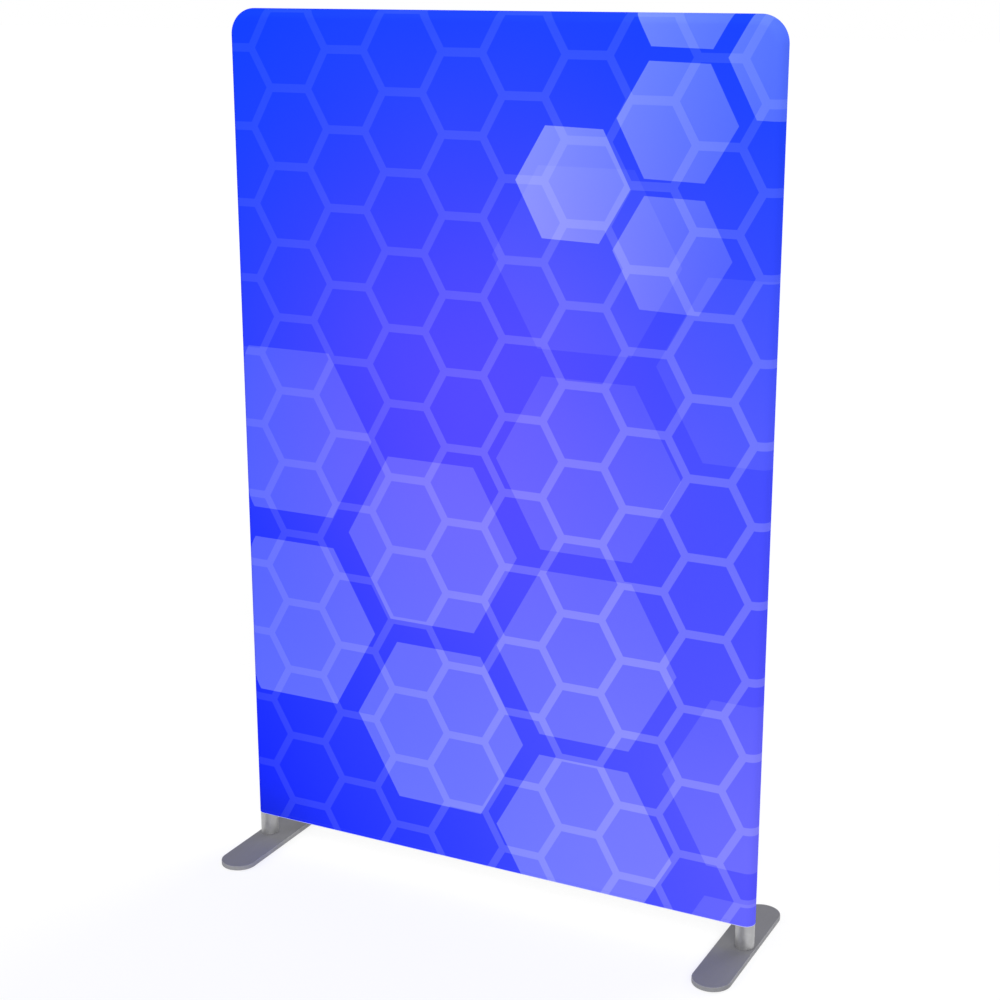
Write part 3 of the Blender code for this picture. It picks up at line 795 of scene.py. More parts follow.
PRINT = PrintedKnit("printed knit")
LINER = WovenCloth("liner weave", hemmed=True)
TAPE = WovenCloth("zip tape weave", colour=(0.72, 0.72, 0.735), thread=0.0009, depth=0.00012,
                  chevron=0.006)
BINDING = WovenCloth("binding weave", colour=(0.66, 0.66, 0.68), thread=0.0008, depth=0.0001,
                     chevron=0.004)
POST_METAL = SatinMetal("satin post", colour=(0.425, 0.425, 0.43), roughness=0.5, lines=0.14,
                        mottle=0.36)
RAIL_METAL = SatinMetal("satin rail", roughness=0.38, along=Axis.ALONG_X)
CAST_METAL = SatinMetal("cast alloy", colour=(0.46, 0.46, 0.475), roughness=0.52, lines=0.03,
                        mottle=0.16, grain=500.0, depth=0.00006)
PLATED_METAL = SatinMetal("plated steel", colour=(0.66, 0.66, 0.67), roughness=0.24, lines=0.03,
                          mottle=0.06)
ZIP_METAL = SatinMetal("zip plating", roughness=0.26, along=Axis.ALONG_X, lines=0.03, mottle=0.08)
FOOT_COAT = PowderCoat("foot coating")
PAD_RUBBER = Moulded("pad rubber", colour=(0.028, 0.028, 0.03), roughness=0.82, grain=900.0,
                     depth=0.00008, variation=0.2)
COIL_NYLON = Moulded("coil nylon", colour=(0.62, 0.62, 0.64), roughness=0.35, grain=1600.0,
                     depth=0.00001, variation=0.06)
THREAD = Moulded("sewing thread", colour=(0.7, 0.7, 0.72), roughness=0.75, grain=2600.0,
                 depth=0.00003)
BLUE_THREAD = Moulded("blue thread", colour=(0.06, 0.075, 0.7), roughness=0.8, grain=2600.0,
                      depth=0.00003)
BAR_LACQUER = Moulded("bar lacquer", colour=(0.74, 0.74, 0.75), roughness=0.34, grain=700.0,
                      depth=0.00002, variation=0.04)
LENS_CLEAR = Moulded("frosted lens", colour=(0.86, 0.88, 0.9), roughness=0.22, grain=900.0,
                     depth=0.00003, variation=0.04, clear=0.75)
STRIP_LACQUER = Moulded("strip lacquer", colour=(0.7, 0.7, 0.68), roughness=0.4, grain=900.0,
                        depth=0.00002, variation=0.06)
DIODE_RESIN = Moulded("diode resin", colour=(0.78, 0.62, 0.12), roughness=0.3, grain=1500.0,
                      depth=0.00001, variation=0.08)
BOX_PLASTIC = Moulded("box plastic")
SHEATH = Moulded("cable sheath", colour=(0.035, 0.035, 0.037), roughness=0.6, grain=1300.0,
                 depth=0.00003, variation=0.12)
BOARD = Laminate("board laminate")
FLOOR = StudioFloor("studio floor")


# Meshes


class Shape:
    """A mesh in the making, shaped by bmesh's operators."""

    def __init__(self) -> None:
        """Starts an empty mesh."""
        self.bm = bmesh.new()

    @property
    def everything(self) -> list[Geometry]:
        """All points, edges and faces so far."""
        return [*self.bm.verts, *self.bm.edges, *self.bm.faces]

    def chain(self, places: Iterable[Sequence[float]], closed: bool = False) -> list[Geometry]:
        """Adds a line of edges.

        Args:
            places: The points that it runs through.
            closed: Whether it runs back to its start.

        Returns:
            Its points and edges.
        """
        points = [self.bm.verts.new(place) for place in places]
        pairs = list(zip(points, points[1:]))
        if closed:
            pairs.append((points[-1], points[0]))
        return [*points, *(self.bm.edges.new(pair) for pair in pairs)]

    def spin(self, geometry: Sequence[Geometry], centre: Vector, axis: Vector, angle: float,
             steps: int, whole: bool = False) -> list[Geometry]:
        """Turns the geometry about an axis, leaving faces or edges behind it.

        Args:
            geometry: What is turned.
            centre: A point on the axis.
            axis: The axis's direction.
            angle: How far it turns, in radians.
            steps: In how many steps.
            whole: Whether it closes on itself.

        Returns:
            The geometry at the far end.
        """
        made = bmesh.ops.spin(self.bm, geom=list(geometry), cent=centre, axis=axis, angle=angle,
                              steps=steps, use_merge=whole)
        return made["geom_last"]

    def repeat(self, geometry: Sequence[Geometry], count: int, step: Vector = Vector(),
               centre: Vector = Vector(), axis: Vector = Z_AXIS,
               angle: float = 0.0) -> list[Geometry]:
        """Copies the geometry in a row or round an axis.

        Args:
            geometry: What is copied.
            count: The number of copies.
            step: How far each copy is moved on.
            centre: A point on the axis.
            axis: The axis's direction.
            angle: How far the copies turn in all, in radians.

        Returns:
            The last copy.
        """
        made = bmesh.ops.spin(self.bm, geom=list(geometry), cent=centre, axis=axis, angle=angle,
                              dvec=step, steps=count, use_duplicate=True)
        return made["geom_last"]

    def extrude(self, geometry: Sequence[Geometry], by: Vector) -> list[Geometry]:
        """Extrudes the geometry's edges.

        Args:
            geometry: Points and edges, of which the edges count.
            by: How far, and which way.

        Returns:
            The new points and edges at the far end.
        """
        edges = [item for item in geometry if isinstance(item, BMEdge)]
        made = bmesh.ops.extrude_edge_only(self.bm, edges=edges)["geom"]
        points = {item for item in made if isinstance(item, BMVert)}
        bmesh.ops.translate(self.bm, vec=by, verts=list(points))
        ends = [item for item in made
                if isinstance(item, BMEdge) and all(point in points for point in item.verts)]
        return [*points, *ends]

    def reach(self, point: BMVert, by: Vector) -> BMVert:
        """Draws an edge out of one point.

        Args:
            point: The point.
            by: How far, and which way.

        Returns:
            The new point.
        """
        made = bmesh.ops.extrude_vert_indiv(self.bm, verts=[point])["verts"]
        bmesh.ops.translate(self.bm, vec=by, verts=made)
        return made[0]

    def arc(self, point: BMVert, centre: Vector, steps: int) -> BMVert:
        """Draws a half turn about an upright axis out of one point, and returns its end."""
        turned = self.spin([point], centre, Z_AXIS, HALF_TURN, steps)
        return next(item for item in turned if isinstance(item, BMVert))

    def fill(self, edges: Sequence[BMEdge]) -> list[BMFace]:
        """Fills a closed loop of edges with one face."""
        return bmesh.ops.edgeloop_fill(self.bm, edges=list(edges))["faces"]

    def raise_faces(self, faces: Sequence[BMFace], by: Vector) -> list[BMFace]:
        """Extrudes faces into a solid.

        Args:
            faces: The faces, which stay as its base.
            by: How far, and which way.

        Returns:
            The faces at the far end.
        """
        made = bmesh.ops.extrude_face_region(self.bm, geom=list(faces), use_keep_orig=True)["geom"]
        bmesh.ops.translate(self.bm, vec=by,
                            verts=[item for item in made if isinstance(item, BMVert)])
        return [item for item in made if isinstance(item, BMFace)]

    def bevel(self, edges: Iterable[BMEdge], width: float, segments: int = 2) -> None:
        """Rounds edges."""
        bmesh.ops.bevel(self.bm, geom=list(edges), offset=width, segments=segments, profile=0.5,
                        affect="EDGES", material=-1, clamp_overlap=True)

    def sharp_edges(self) -> list[BMEdge]:
        """The edges that don't shade smoothly."""
        self.settle()
        return [edge for edge in self.bm.edges
                if len(edge.link_faces) == 2 and edge.calc_face_angle() > SOFT_ANGLE]

    def within(self, plane: Callable[[BMVert], float]) -> list[BMEdge]:
        """The edges on a plane, given as a function of a point that is 0 there."""
        return [edge for edge in self.bm.edges
                if all(abs(plane(point)) < MERGE for point in edge.verts)]

    def take(self, other: "Shape") -> None:
        """Adds another shape to this one.

        Args:
            other: The other shape, which ends there.
        """
        passed = bpy.data.meshes.new("passed")
        other.bm.to_mesh(passed)
        other.bm.free()
        self.bm.from_mesh(passed)
        bpy.data.meshes.remove(passed)

    def mirror(self) -> None:
        """Mirrors everything across the middle of the wall and joins it there."""
        bmesh.ops.mirror(self.bm, geom=self.everything, matrix=Matrix.Identity(4),
                         merge_dist=MERGE, axis="X")

    def move(self, by: Vector) -> None:
        """Moves everything."""
        bmesh.ops.translate(self.bm, vec=by, verts=self.bm.verts)

    def aim(self, base: Vector, direction: Vector) -> None:
        """Turns everything from +Z to a direction and moves it to its base."""
        turn = direction.to_track_quat("Z", "Y").to_matrix().to_4x4()
        bmesh.ops.transform(self.bm, matrix=Matrix.Translation(base) @ turn, verts=self.bm.verts)

    def join(self) -> None:
        """Merges doubles."""
        bmesh.ops.remove_doubles(self.bm, verts=self.bm.verts, dist=MERGE)

    def settle(self) -> None:
        """Merges doubles and turns the faces of closed shells outwards."""
        self.join()
        bmesh.ops.recalc_face_normals(self.bm, faces=self.bm.faces)

    def face_away(self, middle: Vector) -> None:
        """Turns an open sheet's faces outwards.

        Args:
            middle: A point behind the sheet.
        """
        self.settle()
        lean = sum(face.normal.dot(face.calc_center_median() - middle) * face.calc_area()
                   for face in self.bm.faces)
        if lean < 0:
            bmesh.ops.reverse_faces(self.bm, faces=self.bm.faces)

    def map_cloth(self, unroll: Callable[[Vector], Pair]) -> None:
        """Writes the cloth map.

        Args:
            unroll: Gives a point's place on the flat cloth.
        """
        layer = self.bm.loops.layers.uv.new(CLOTH_MAP)
        for face in self.bm.faces:
            for corner in face.loops:
                corner[layer].uv = unroll(corner.vert.co)

    def mesh(self, name: str) -> bpy.types.Object:
        """Ends the work.

        Args:
            name: The object's name.

        Returns:
            The shape as an object.
        """
        data = bpy.data.meshes.new(name)
        self.bm.to_mesh(data)
        self.bm.free()
        data.shade_smooth()
        data.set_sharp_from_angle(angle=SOFT_ANGLE)
        thing = bpy.data.objects.new(name, data)
        bpy.context.scene.collection.objects.link(thing)
        return thing


def lathe(outline: Sequence[Pair], base: Vector, direction: Vector, steps: int) -> Shape:
    """Turns an outline about a line.

    Args:
        outline: Points of (radius, height). It closes on itself unless it starts on the line.
        base: The place of height 0 on the line.
        direction: The line's direction.
        steps: Facets round the shape.

    Returns:
        The closed shape.
    """
    shape = Shape()
    chain = shape.chain(((radius, 0, height) for radius, height in outline), outline[0][0] > 0)
    shape.spin(chain, Vector(), Z_AXIS, math.tau, steps, True)
    shape.aim(base, direction)
    shape.settle()
    return shape


def slab(outline: Sequence[Sequence[float]], by: Vector) -> Shape:
    """Extrudes a flat outline into a closed solid.

    Args:
        outline: The outline's corners.
        by: How far, and which way.

    Returns:
        The solid.
    """
    shape = Shape()
    chain = shape.chain(outline, True)
    faces = shape.fill([item for item in chain if isinstance(item, BMEdge)])
    shape.raise_faces(faces, by)
    shape.settle()
    return shape


def brick(low: Sequence[float], high: Sequence[float]) -> Shape:
    """A box between two corners, to be bevelled or shaped.

    Args:
        low: Its lowest corner.
        high: Its highest corner.

    Returns:
        The box.
    """
    (left, front, base), (right, back, top) = low, high
    outline = [(left, front, base), (right, front, base), (right, back, base), (left, back, base)]
    return slab(outline, Z_AXIS * (top - base))


def carve(piece: bpy.types.Object, tool: bpy.types.Object) -> None:
    """Cuts a tool out of a piece.

    Args:
        piece: The piece.
        tool: The tool, which is removed.
    """
    modifier = piece.modifiers.new("carve", "BOOLEAN")
    modifier.operation = "DIFFERENCE"
    modifier.object = tool
    modifier.solver = "EXACT"
    graph = bpy.context.evaluated_depsgraph_get()
    made = bpy.data.meshes.new_from_object(piece.evaluated_get(graph))
    piece.modifiers.clear()
    piece.data = made
    made.name = piece.name
    made.shade_smooth()
    made.set_sharp_from_angle(angle=SOFT_ANGLE)
    bpy.data.objects.remove(tool, do_unlink=True)


def weigh_normals(piece: bpy.types.Object) -> None:
    """Keeps flat faces flat beside their rounded edges."""
    modifier = piece.modifiers.new("flat faces", "WEIGHTED_NORMAL")
    modifier.keep_sharp = True
    modifier.weight = FACE_WEIGHT


def thicken(piece: bpy.types.Object, thickness: float) -> None:
    """Gives a sheet its thickness, inwards, with a crisp cut edge.

    Args:
        piece: The sheet.
        thickness: Its thickness.
    """
    cut = bmesh.new()
    cut.from_mesh(piece.data)
    for edge in cut.edges:
        edge.smooth = edge.smooth and not edge.is_boundary
    cut.to_mesh(piece.data)
    cut.free()
    modifier = piece.modifiers.new("thickness", "SOLIDIFY")
    modifier.thickness = thickness
    modifier.offset = -1
    modifier.use_even_offset = True


def install(piece: bpy.types.Object, finish: Finish, slot: Slot, body: str = "frame",
            replaced: Sequence[str] = ()) -> bpy.types.Object:
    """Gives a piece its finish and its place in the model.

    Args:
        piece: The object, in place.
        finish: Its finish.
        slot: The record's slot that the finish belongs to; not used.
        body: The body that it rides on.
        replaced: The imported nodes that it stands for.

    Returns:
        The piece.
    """
    piece.data.materials.clear()
    piece.data.materials.append(finish.material())
    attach(piece, body)
    if replaced:
        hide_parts(*replaced)
    return piece


def joined(node: str, name: str, finish: Finish, slot: Slot, body: str = "frame",
           rounding: float = 0.0) -> bpy.types.Object:
    """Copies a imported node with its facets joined, so that its round faces shade smoothly.

    Args:
        node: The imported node, which the copy replaces.
        name: The copy's name.
        finish: Its finish.
        slot: The record's slot that the finish belongs to.
        body: The body that it rides on.
        rounding: The radius of its edges, or 0 where they stay sharp.

    Returns:
        The copy.
    """
    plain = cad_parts[node].data.copy()
    stored = plain.attributes.get("custom_normal")
    if stored:
        plain.attributes.remove(stored)
    shape = Shape()
    shape.bm.from_mesh(plain)
    shape.join()
    bpy.data.meshes.remove(plain)
    if rounding:
        bmesh.ops.dissolve_limit(shape.bm, angle_limit=FLAT_ANGLE, verts=shape.bm.verts,
                                 edges=shape.bm.edges)
        shape.bevel(shape.sharp_edges(), rounding)
    piece = shape.mesh(name)
    if rounding:
        weigh_normals(piece)
    return install(piece, finish, slot, body, [node])


def paired(*names: str) -> list[str]:
    """Each name with each side's label."""
    return [f"{name}_{side}" for name in names for side in SIDES]


# Sub-assemblies


@dataclass(frozen=True)
class SleeveRun:
    """The line that the sleeve follows: up a post, round a top corner and along the top rail."""

    rail_z: float = 2.3386
    bend: float = 0.042
    lean: float = 0.255
    lean_change: float = -0.13
    corner_steps: int = 24

    @property
    def hub(self) -> Vector:
        """The middle of the left corner's bend."""
        return Vector((self.bend - POST_X, 0, self.rail_z - self.bend))

    def sweep(self, shape: Shape, section: Sequence[Geometry]) -> None:
        """Sweeps a section from the left hem up, round and across, and mirrors it.

        Args:
            shape: The mesh that holds the section.
            section: Points and edges at the left hem.
        """
        climbed = shape.extrude(section, Z_AXIS * (self.hub.z - HEM))
        turned = shape.spin(climbed, self.hub, Y_AXIS, QUARTER_TURN, self.corner_steps)
        shape.extrude(turned, X_AXIS * -self.hub.x)
        shape.mirror()

    def sew(self, shape: Shape, stitch: Sequence[Geometry], inset: float, pitch: float) -> None:
        """Repeats a stitch along the run.

        Args:
            shape: The mesh that holds the stitches.
            stitch: The first stitch, at the left hem.
            inset: How far inside the run the stitches lie.
            pitch: The distance between stitches.
        """
        climb = self.hub.z - HEM - pitch
        count = round(climb / pitch)
        last = shape.repeat(stitch, count, Z_AXIS * (climb / count))
        count = max(2, round((self.bend - inset) * QUARTER_TURN / pitch))
        last = shape.repeat(last, count, Vector(), self.hub, Y_AXIS, QUARTER_TURN)
        across = -self.hub.x - pitch / 2
        count = round(across / pitch)
        shape.repeat(last, count, X_AXIS * (across / count))
        shape.mirror()

    def unroll(self, place: Vector, radius: float) -> Pair:
        """Where a point of the wrapped cloth lies on the flat cloth.

        Over the top rail the cloth is pulled tight, so its front quarter is stretched less than
        its arc and drawn along the rail.

        Args:
            place: The point.
            radius: The cloth's outer radius round the tube.

        Returns:
            Its place across and up the flat cloth, in metres.
        """
        hub_x = POST_X - self.bend
        across, up = abs(place.x) - hub_x, place.z - self.hub.z
        side = math.copysign(1.0, place.x)
        if across > 0 and up > 0:
            reach = math.hypot(across, up)
            outward = Vector((side * across / reach, up / reach))
            out = reach - self.bend
        elif up > across:
            outward, out = Vector((0.0, 1.0)), place.z - self.rail_z
        else:
            outward, out = Vector((side, 0.0)), abs(place.x) - POST_X
        around = math.atan2(max(out, 0.0), -place.y)
        front, rise = min(around, QUARTER_TURN), max(outward.y, 0.0)
        covered = radius * (around - rise * (front - math.sin(front)))
        covered += math.copysign(min(out, 0.0), place.y)
        lean = self.lean + self.lean_change * place.x
        drawn = lean * rise * radius * (1 - math.cos(front))
        return (place.x + outward.x * (covered - out) + drawn,
                place.z + outward.y * (covered - out))


@dataclass
class Sleeve:
    """The printed cloth round the frame, its plain liner and the seam between them."""

    run: SleeveRun = SleeveRun()
    radius: float = 0.0259
    back_wrap: float = 0.02
    seam_gap: float = 0.0003
    wrap_steps: int = 32
    border: float = 0.004
    print_flat: Pair = (1.625, 2.287)
    liner_flat: Pair = (1.389, 2.169)
    binding_half: float = 0.0045
    binding_crown: float = 0.0005
    binding_section: tuple[Pair, ...] = (
        (-1.0, 0.2), (-0.8, 1.0), (0.0, 1.15), (0.8, 1.0), (1.0, 0.2))
    binding_thickness: float = 0.0004
    stitch_sides: int = 5
    stitch_rings: int = 4
    stitch_length: float = 0.0026
    stitch_radius: float = 0.00028
    stitch_pitch: float = 0.004
    stitch_inset: float = 0.003

    @property
    def core(self) -> Vector:
        """A point inside the sleeve, which its faces turn away from."""
        return Vector((0, 0, self.run.rail_z / 2))

    def sheet(self, shape: Shape, name: str, finish: Finish, slot: Slot, thickness: float = CLOTH,
              unroll: Callable[[Vector], Pair] = lambda place: (place.x, place.z),
              replaced: Sequence[str] = ()) -> bpy.types.Object:
        """Ends an open shape as a sheet of cloth.

        Args:
            shape: The sheet's outer face.
            name: Its name.
            finish: Its finish.
            slot: The record's slot that the finish belongs to.
            thickness: Its thickness.
            unroll: Gives a point's place on the flat cloth.
            replaced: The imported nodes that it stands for.

        Returns:
            The piece.
        """
        shape.face_away(self.core)
        shape.map_cloth(unroll)
        piece = shape.mesh(name)
        thicken(piece, thickness)
        return install(piece, finish, slot, replaced=replaced)

    def printed_front(self) -> bpy.types.Object:
        """The print: flat in front, round the posts and the top rail, and onto the back.

        Returns:
            The piece.
        """
        run, shape = self.run, Shape()
        first = shape.bm.verts.new((-POST_X, -self.radius, HEM))
        shape.spin([first], X_AXIS * -POST_X, Z_AXIS, -HALF_TURN, self.wrap_steps)
        last = max(shape.bm.verts, key=lambda point: point.co.y)
        shape.reach(last, X_AXIS * self.back_wrap)
        run.sweep(shape, shape.everything)
        rim = shape.within(lambda point: point.co.y + self.radius)
        low = [point for point in shape.bm.verts
               if abs(point.co.y + self.radius) < MERGE and abs(point.co.z - HEM) < MERGE]
        rim.append(shape.bm.edges.new(low))
        front = shape.fill(rim)
        bmesh.ops.inset_region(shape.bm, faces=front, thickness=self.border,
                               use_even_offset=True, use_boundary=True)
        return self.sheet(shape, "sleeve_print", PRINT, Slot.PRINT, replaced=["front_print"],
                          unroll=lambda place: run.unroll(place, self.radius))

    def liner(self) -> bpy.types.Object:
        """The plain sheet that closes the back, inside the print's edge.

        Returns:
            The piece.
        """
        run, shape = self.run, Shape()
        inset = self.back_wrap + self.seam_gap
        foot = shape.bm.verts.new((inset - POST_X, self.radius, HEM))
        shoulder = shape.reach(foot, Z_AXIS * (run.hub.z - HEM))
        shape.spin([shoulder], run.hub, Y_AXIS, QUARTER_TURN, run.corner_steps)
        crest = max(shape.bm.verts, key=lambda point: point.co.x)
        shape.reach(crest, X_AXIS * -crest.co.x)
        shape.mirror()
        low = [point for point in shape.bm.verts if abs(point.co.z - HEM) < MERGE]
        shape.bm.edges.new(low)
        shape.fill(shape.bm.edges[:])
        return self.sheet(shape, "sleeve_liner", LINER, Slot.LINER, replaced=["back_liner"])

    def binding(self) -> bpy.types.Object:
        """The narrow tape sewn over the joint of the print and the liner.

        Returns:
            The piece.
        """
        shape, joint = Shape(), POST_X - self.back_wrap
        section = shape.chain((self.binding_half * across - joint,
                               self.radius + self.binding_crown * out, HEM)
                              for across, out in self.binding_section)
        self.run.sweep(shape, section)
        return self.sheet(shape, "seam_binding", BINDING, Slot.LINER, self.binding_thickness)

    def stitch(self, shape: Shape, place: Vector, along: Vector) -> list[Geometry]:
        """Adds one stitch.

        Args:
            shape: The mesh that holds the stitches.
            place: Its middle.
            along: The way that it runs.

        Returns:
            Its points, edges and faces.
        """
        size = Matrix.Diagonal((self.stitch_radius, self.stitch_radius,
                                self.stitch_length / 2, 1.0))
        turn = along.to_track_quat("Z", "Y").to_matrix().to_4x4()
        made = bmesh.ops.create_uvsphere(shape.bm, u_segments=self.stitch_sides,
                                         v_segments=self.stitch_rings, radius=1.0,
                                         matrix=Matrix.Translation(place) @ turn @ size)
        points = set(made["verts"])
        edges = [edge for edge in shape.bm.edges if points.issuperset(edge.verts)]
        faces = [face for face in shape.bm.faces if points.issuperset(face.verts)]
        return [*points, *edges, *faces]

    def seam_stitches(self) -> bpy.types.Object:
        """Two rows of stitches along the binding.

        Returns:
            The stitches, as one piece.
        """
        shape, lift = Shape(), self.radius + self.binding_crown
        for inset in (self.back_wrap - self.stitch_inset, self.back_wrap + self.stitch_inset):
            place = Vector((inset - POST_X, lift, HEM + self.stitch_pitch / 2))
            row = Shape()
            self.run.sew(row, self.stitch(row, place, Z_AXIS), inset, self.stitch_pitch)
            shape.take(row)
        return install(shape.mesh("seam_stitches"), THREAD, Slot.LINER)

    def hem_row(self, shape: Shape, depth: float, reach: float) -> list[Geometry]:
        """Sews the right half of a hem.

        Args:
            shape: The mesh that holds the stitches.
            depth: How far back the cloth lies.
            reach: How far from the middle the row runs.

        Returns:
            The last stitch.
        """
        place = Vector((self.stitch_pitch / 2, depth, HEM + HEM_TURN))
        count = round((reach - place.x) / self.stitch_pitch) - 1
        return shape.repeat(self.stitch(shape, place, X_AXIS), count, X_AXIS * self.stitch_pitch)

    def hem_stitches(self) -> bpy.types.Object:
        """The stitches that hold the print's hem, across the front and round the posts.

        Returns:
            The stitches, as one piece.
        """
        shape = Shape()
        last = self.hem_row(shape, -self.radius, POST_X)
        count = round(self.radius * HALF_TURN / self.stitch_pitch)
        shape.repeat(last, count, centre=X_AXIS * POST_X, angle=HALF_TURN)
        shape.mirror()
        return install(shape.mesh("hem_stitches"), BLUE_THREAD, Slot.PRINT)

    def liner_stitches(self) -> bpy.types.Object:
        """The stitches that hold the liner's hem, across the back.

        Returns:
            The stitches, as one piece.
        """
        shape = Shape()
        self.hem_row(shape, self.radius, POST_X - self.back_wrap - self.binding_half)
        shape.mirror()
        return install(shape.mesh("liner_stitches"), THREAD, Slot.LINER)

    def build(self) -> list[bpy.types.Object]:
        """Builds the sleeve.

        Returns:
            The pieces.
        """
        front, back = self.printed_front(), self.liner()
        binding, seam = self.binding(), self.seam_stitches()
        hem, liner_hem = self.hem_stitches(), self.liner_stitches()
        return [front, back, binding, seam, hem, liner_hem]


@dataclass
class HemZip:
    """The zip under the sleeve: two tapes with their coils, a slider and its pull."""

    line: float = 0.015
    slit: float = 0.0006
    half_length: float = 0.7108
    edge: float = 0.025
    tape_steps: int = 8
    tuck: float = 0.35
    coil_width: float = 0.0025
    coil_stand: float = 0.0007
    wire: float = 0.00032
    wire_sides: int = 5
    turn_pitch: float = 0.0018
    turn_steps: int = 8
    block_turns: int = 30
    edge_round: float = 0.00018
    turned_in: float = 0.0032

    def tape(self, label: str, side: int) -> bpy.types.Object:
        """One tape, from the sheet's edge to the coil.

        Args:
            label: The half's name.
            side: -1 in front of the slit and 1 behind it.

        Returns:
            The piece.
        """
        coil_back = self.line + side * (self.slit + self.coil_width)
        inner = coil_back - side * self.coil_width * self.tuck
        edge = side * self.edge
        shape = Shape()
        section = shape.chain((-self.half_length, edge + (inner - edge) * step / self.tape_steps,
                               HEM + CLOTH) for step in range(self.tape_steps + 1))
        shape.extrude(section, X_AXIS * (2 * self.half_length))
        shape.face_away(-Z_AXIS)
        shape.map_cloth(lambda place: (place.x, place.y))
        tape = shape.mesh(f"zip_tape_{label}")
        thicken(tape, CLOTH)
        return install(tape, TAPE, Slot.TAPE, replaced=[f"zip_half_{label}"])

    def coil(self, label: str, side: int) -> bpy.types.Object:
        """One coil: a wound wire, squashed flat, along the tape's edge.

        Args:
            label: The half's name.
            side: -1 in front of the slit and 1 behind it.

        Returns:
            The piece.
        """
        half_width = self.coil_width / 2 - self.wire
        half_height = self.coil_stand + CLOTH / 2 - self.wire
        shape = Shape()
        wire = bmesh.ops.create_circle(
            shape.bm, segments=self.wire_sides, radius=self.wire, cap_ends=False,
            matrix=Matrix.Translation((0, half_width, 0)) @ Matrix.Rotation(QUARTER_TURN, 4, "X"))
        bmesh.ops.spin(shape.bm, geom=[*wire["verts"], *shape.bm.edges], cent=Vector(),
                       axis=X_AXIS, dvec=X_AXIS * (self.turn_pitch / self.turn_steps),
                       angle=math.tau * self.block_turns,
                       steps=self.turn_steps * self.block_turns)
        block = self.turn_pitch * self.block_turns
        blocks = int(2 * self.half_length / block)
        shape.repeat(shape.everything, blocks - 1, X_AXIS * block)
        shape.settle()
        ends = [edge for edge in shape.bm.edges if edge.is_boundary]
        bmesh.ops.holes_fill(shape.bm, edges=ends, sides=0)
        bmesh.ops.scale(shape.bm, vec=(1, 1, half_height / half_width), verts=shape.bm.verts)
        shape.move(Vector((-blocks * block / 2,
                           self.line + side * (self.slit + self.coil_width / 2),
                           HEM + CLOTH / 2)))
        return install(shape.mesh(f"zip_coil_{label}"), COIL_NYLON, Slot.TAPE)

    def build(self) -> list[bpy.types.Object]:
        """Builds the zip.

        Returns:
            The pieces.
        """
        pieces = []
        for label, side in (("front", -1), ("back", 1)):
            tape, coil = self.tape(label, side), self.coil(label, side)
            pieces += [tape, coil]
        for node, name in (("zip_slider", "slider_body"), ("zip_pull", "slider_pull")):
            pieces.append(joined(node, name, ZIP_METAL, Slot.ZIP_METAL, node, self.edge_round))
        return pieces


@dataclass
class TubeFrame:
    """Posts, corners, rails and the parts that lock them together."""

    radius: float = 0.025
    bore: float = 0.0235
    low: float = 0.0143
    high: float = 1.14985
    chamfer: float = 0.0004
    facets: int = 96

    def lower_post(self, label: str, side: int) -> bpy.types.Object:
        """The lower tube of a post, which shows between the foot and the hem.

        Args:
            label: The side's name.
            side: -1 on the left and 1 on the right.

        Returns:
            The piece.
        """
        height, cut = self.high - self.low, self.chamfer
        outline = [(self.bore, 0), (self.radius - cut, 0), (self.radius, cut),
                   (self.radius, height - cut), (self.radius - cut, height), (self.bore, height)]
        shape = lathe(outline, Vector((side * POST_X, 0, self.low)), Z_AXIS, self.facets)
        piece = shape.mesh(f"post_tube_{label}")
        return install(piece, POST_METAL, Slot.TUBE, replaced=[f"upright_lower_{label}"])

    def build(self) -> list[bpy.types.Object]:
        """Builds the posts and the rest of the frame.

        Returns:
            The pieces.
        """
        pieces = [self.lower_post(label, side) for label, side in SIDES.items()]
        for node in paired("upright_upper"):
            pieces.append(joined(node, f"{node}_tube", POST_METAL, Slot.TUBE))
        for node in paired("top_rail", "bottom_rail"):
            pieces.append(joined(node, f"{node}_tube", RAIL_METAL, Slot.TUBE))
        for node in (*paired("upright_coupler", "corner_elbow", "rail_stub"),
                     "top_rail_coupler", "bottom_rail_coupler"):
            pieces.append(joined(node, f"{node}_casting", CAST_METAL, Slot.CAST))
        for node in (*paired("upright_button", "elbow_post_button", "elbow_rail_button",
                             "stub_button"), "top_rail_button", "bottom_rail_button"):
            pieces.append(joined(node, f"{node}_pin", PLATED_METAL, Slot.PLATED, node))
        return pieces


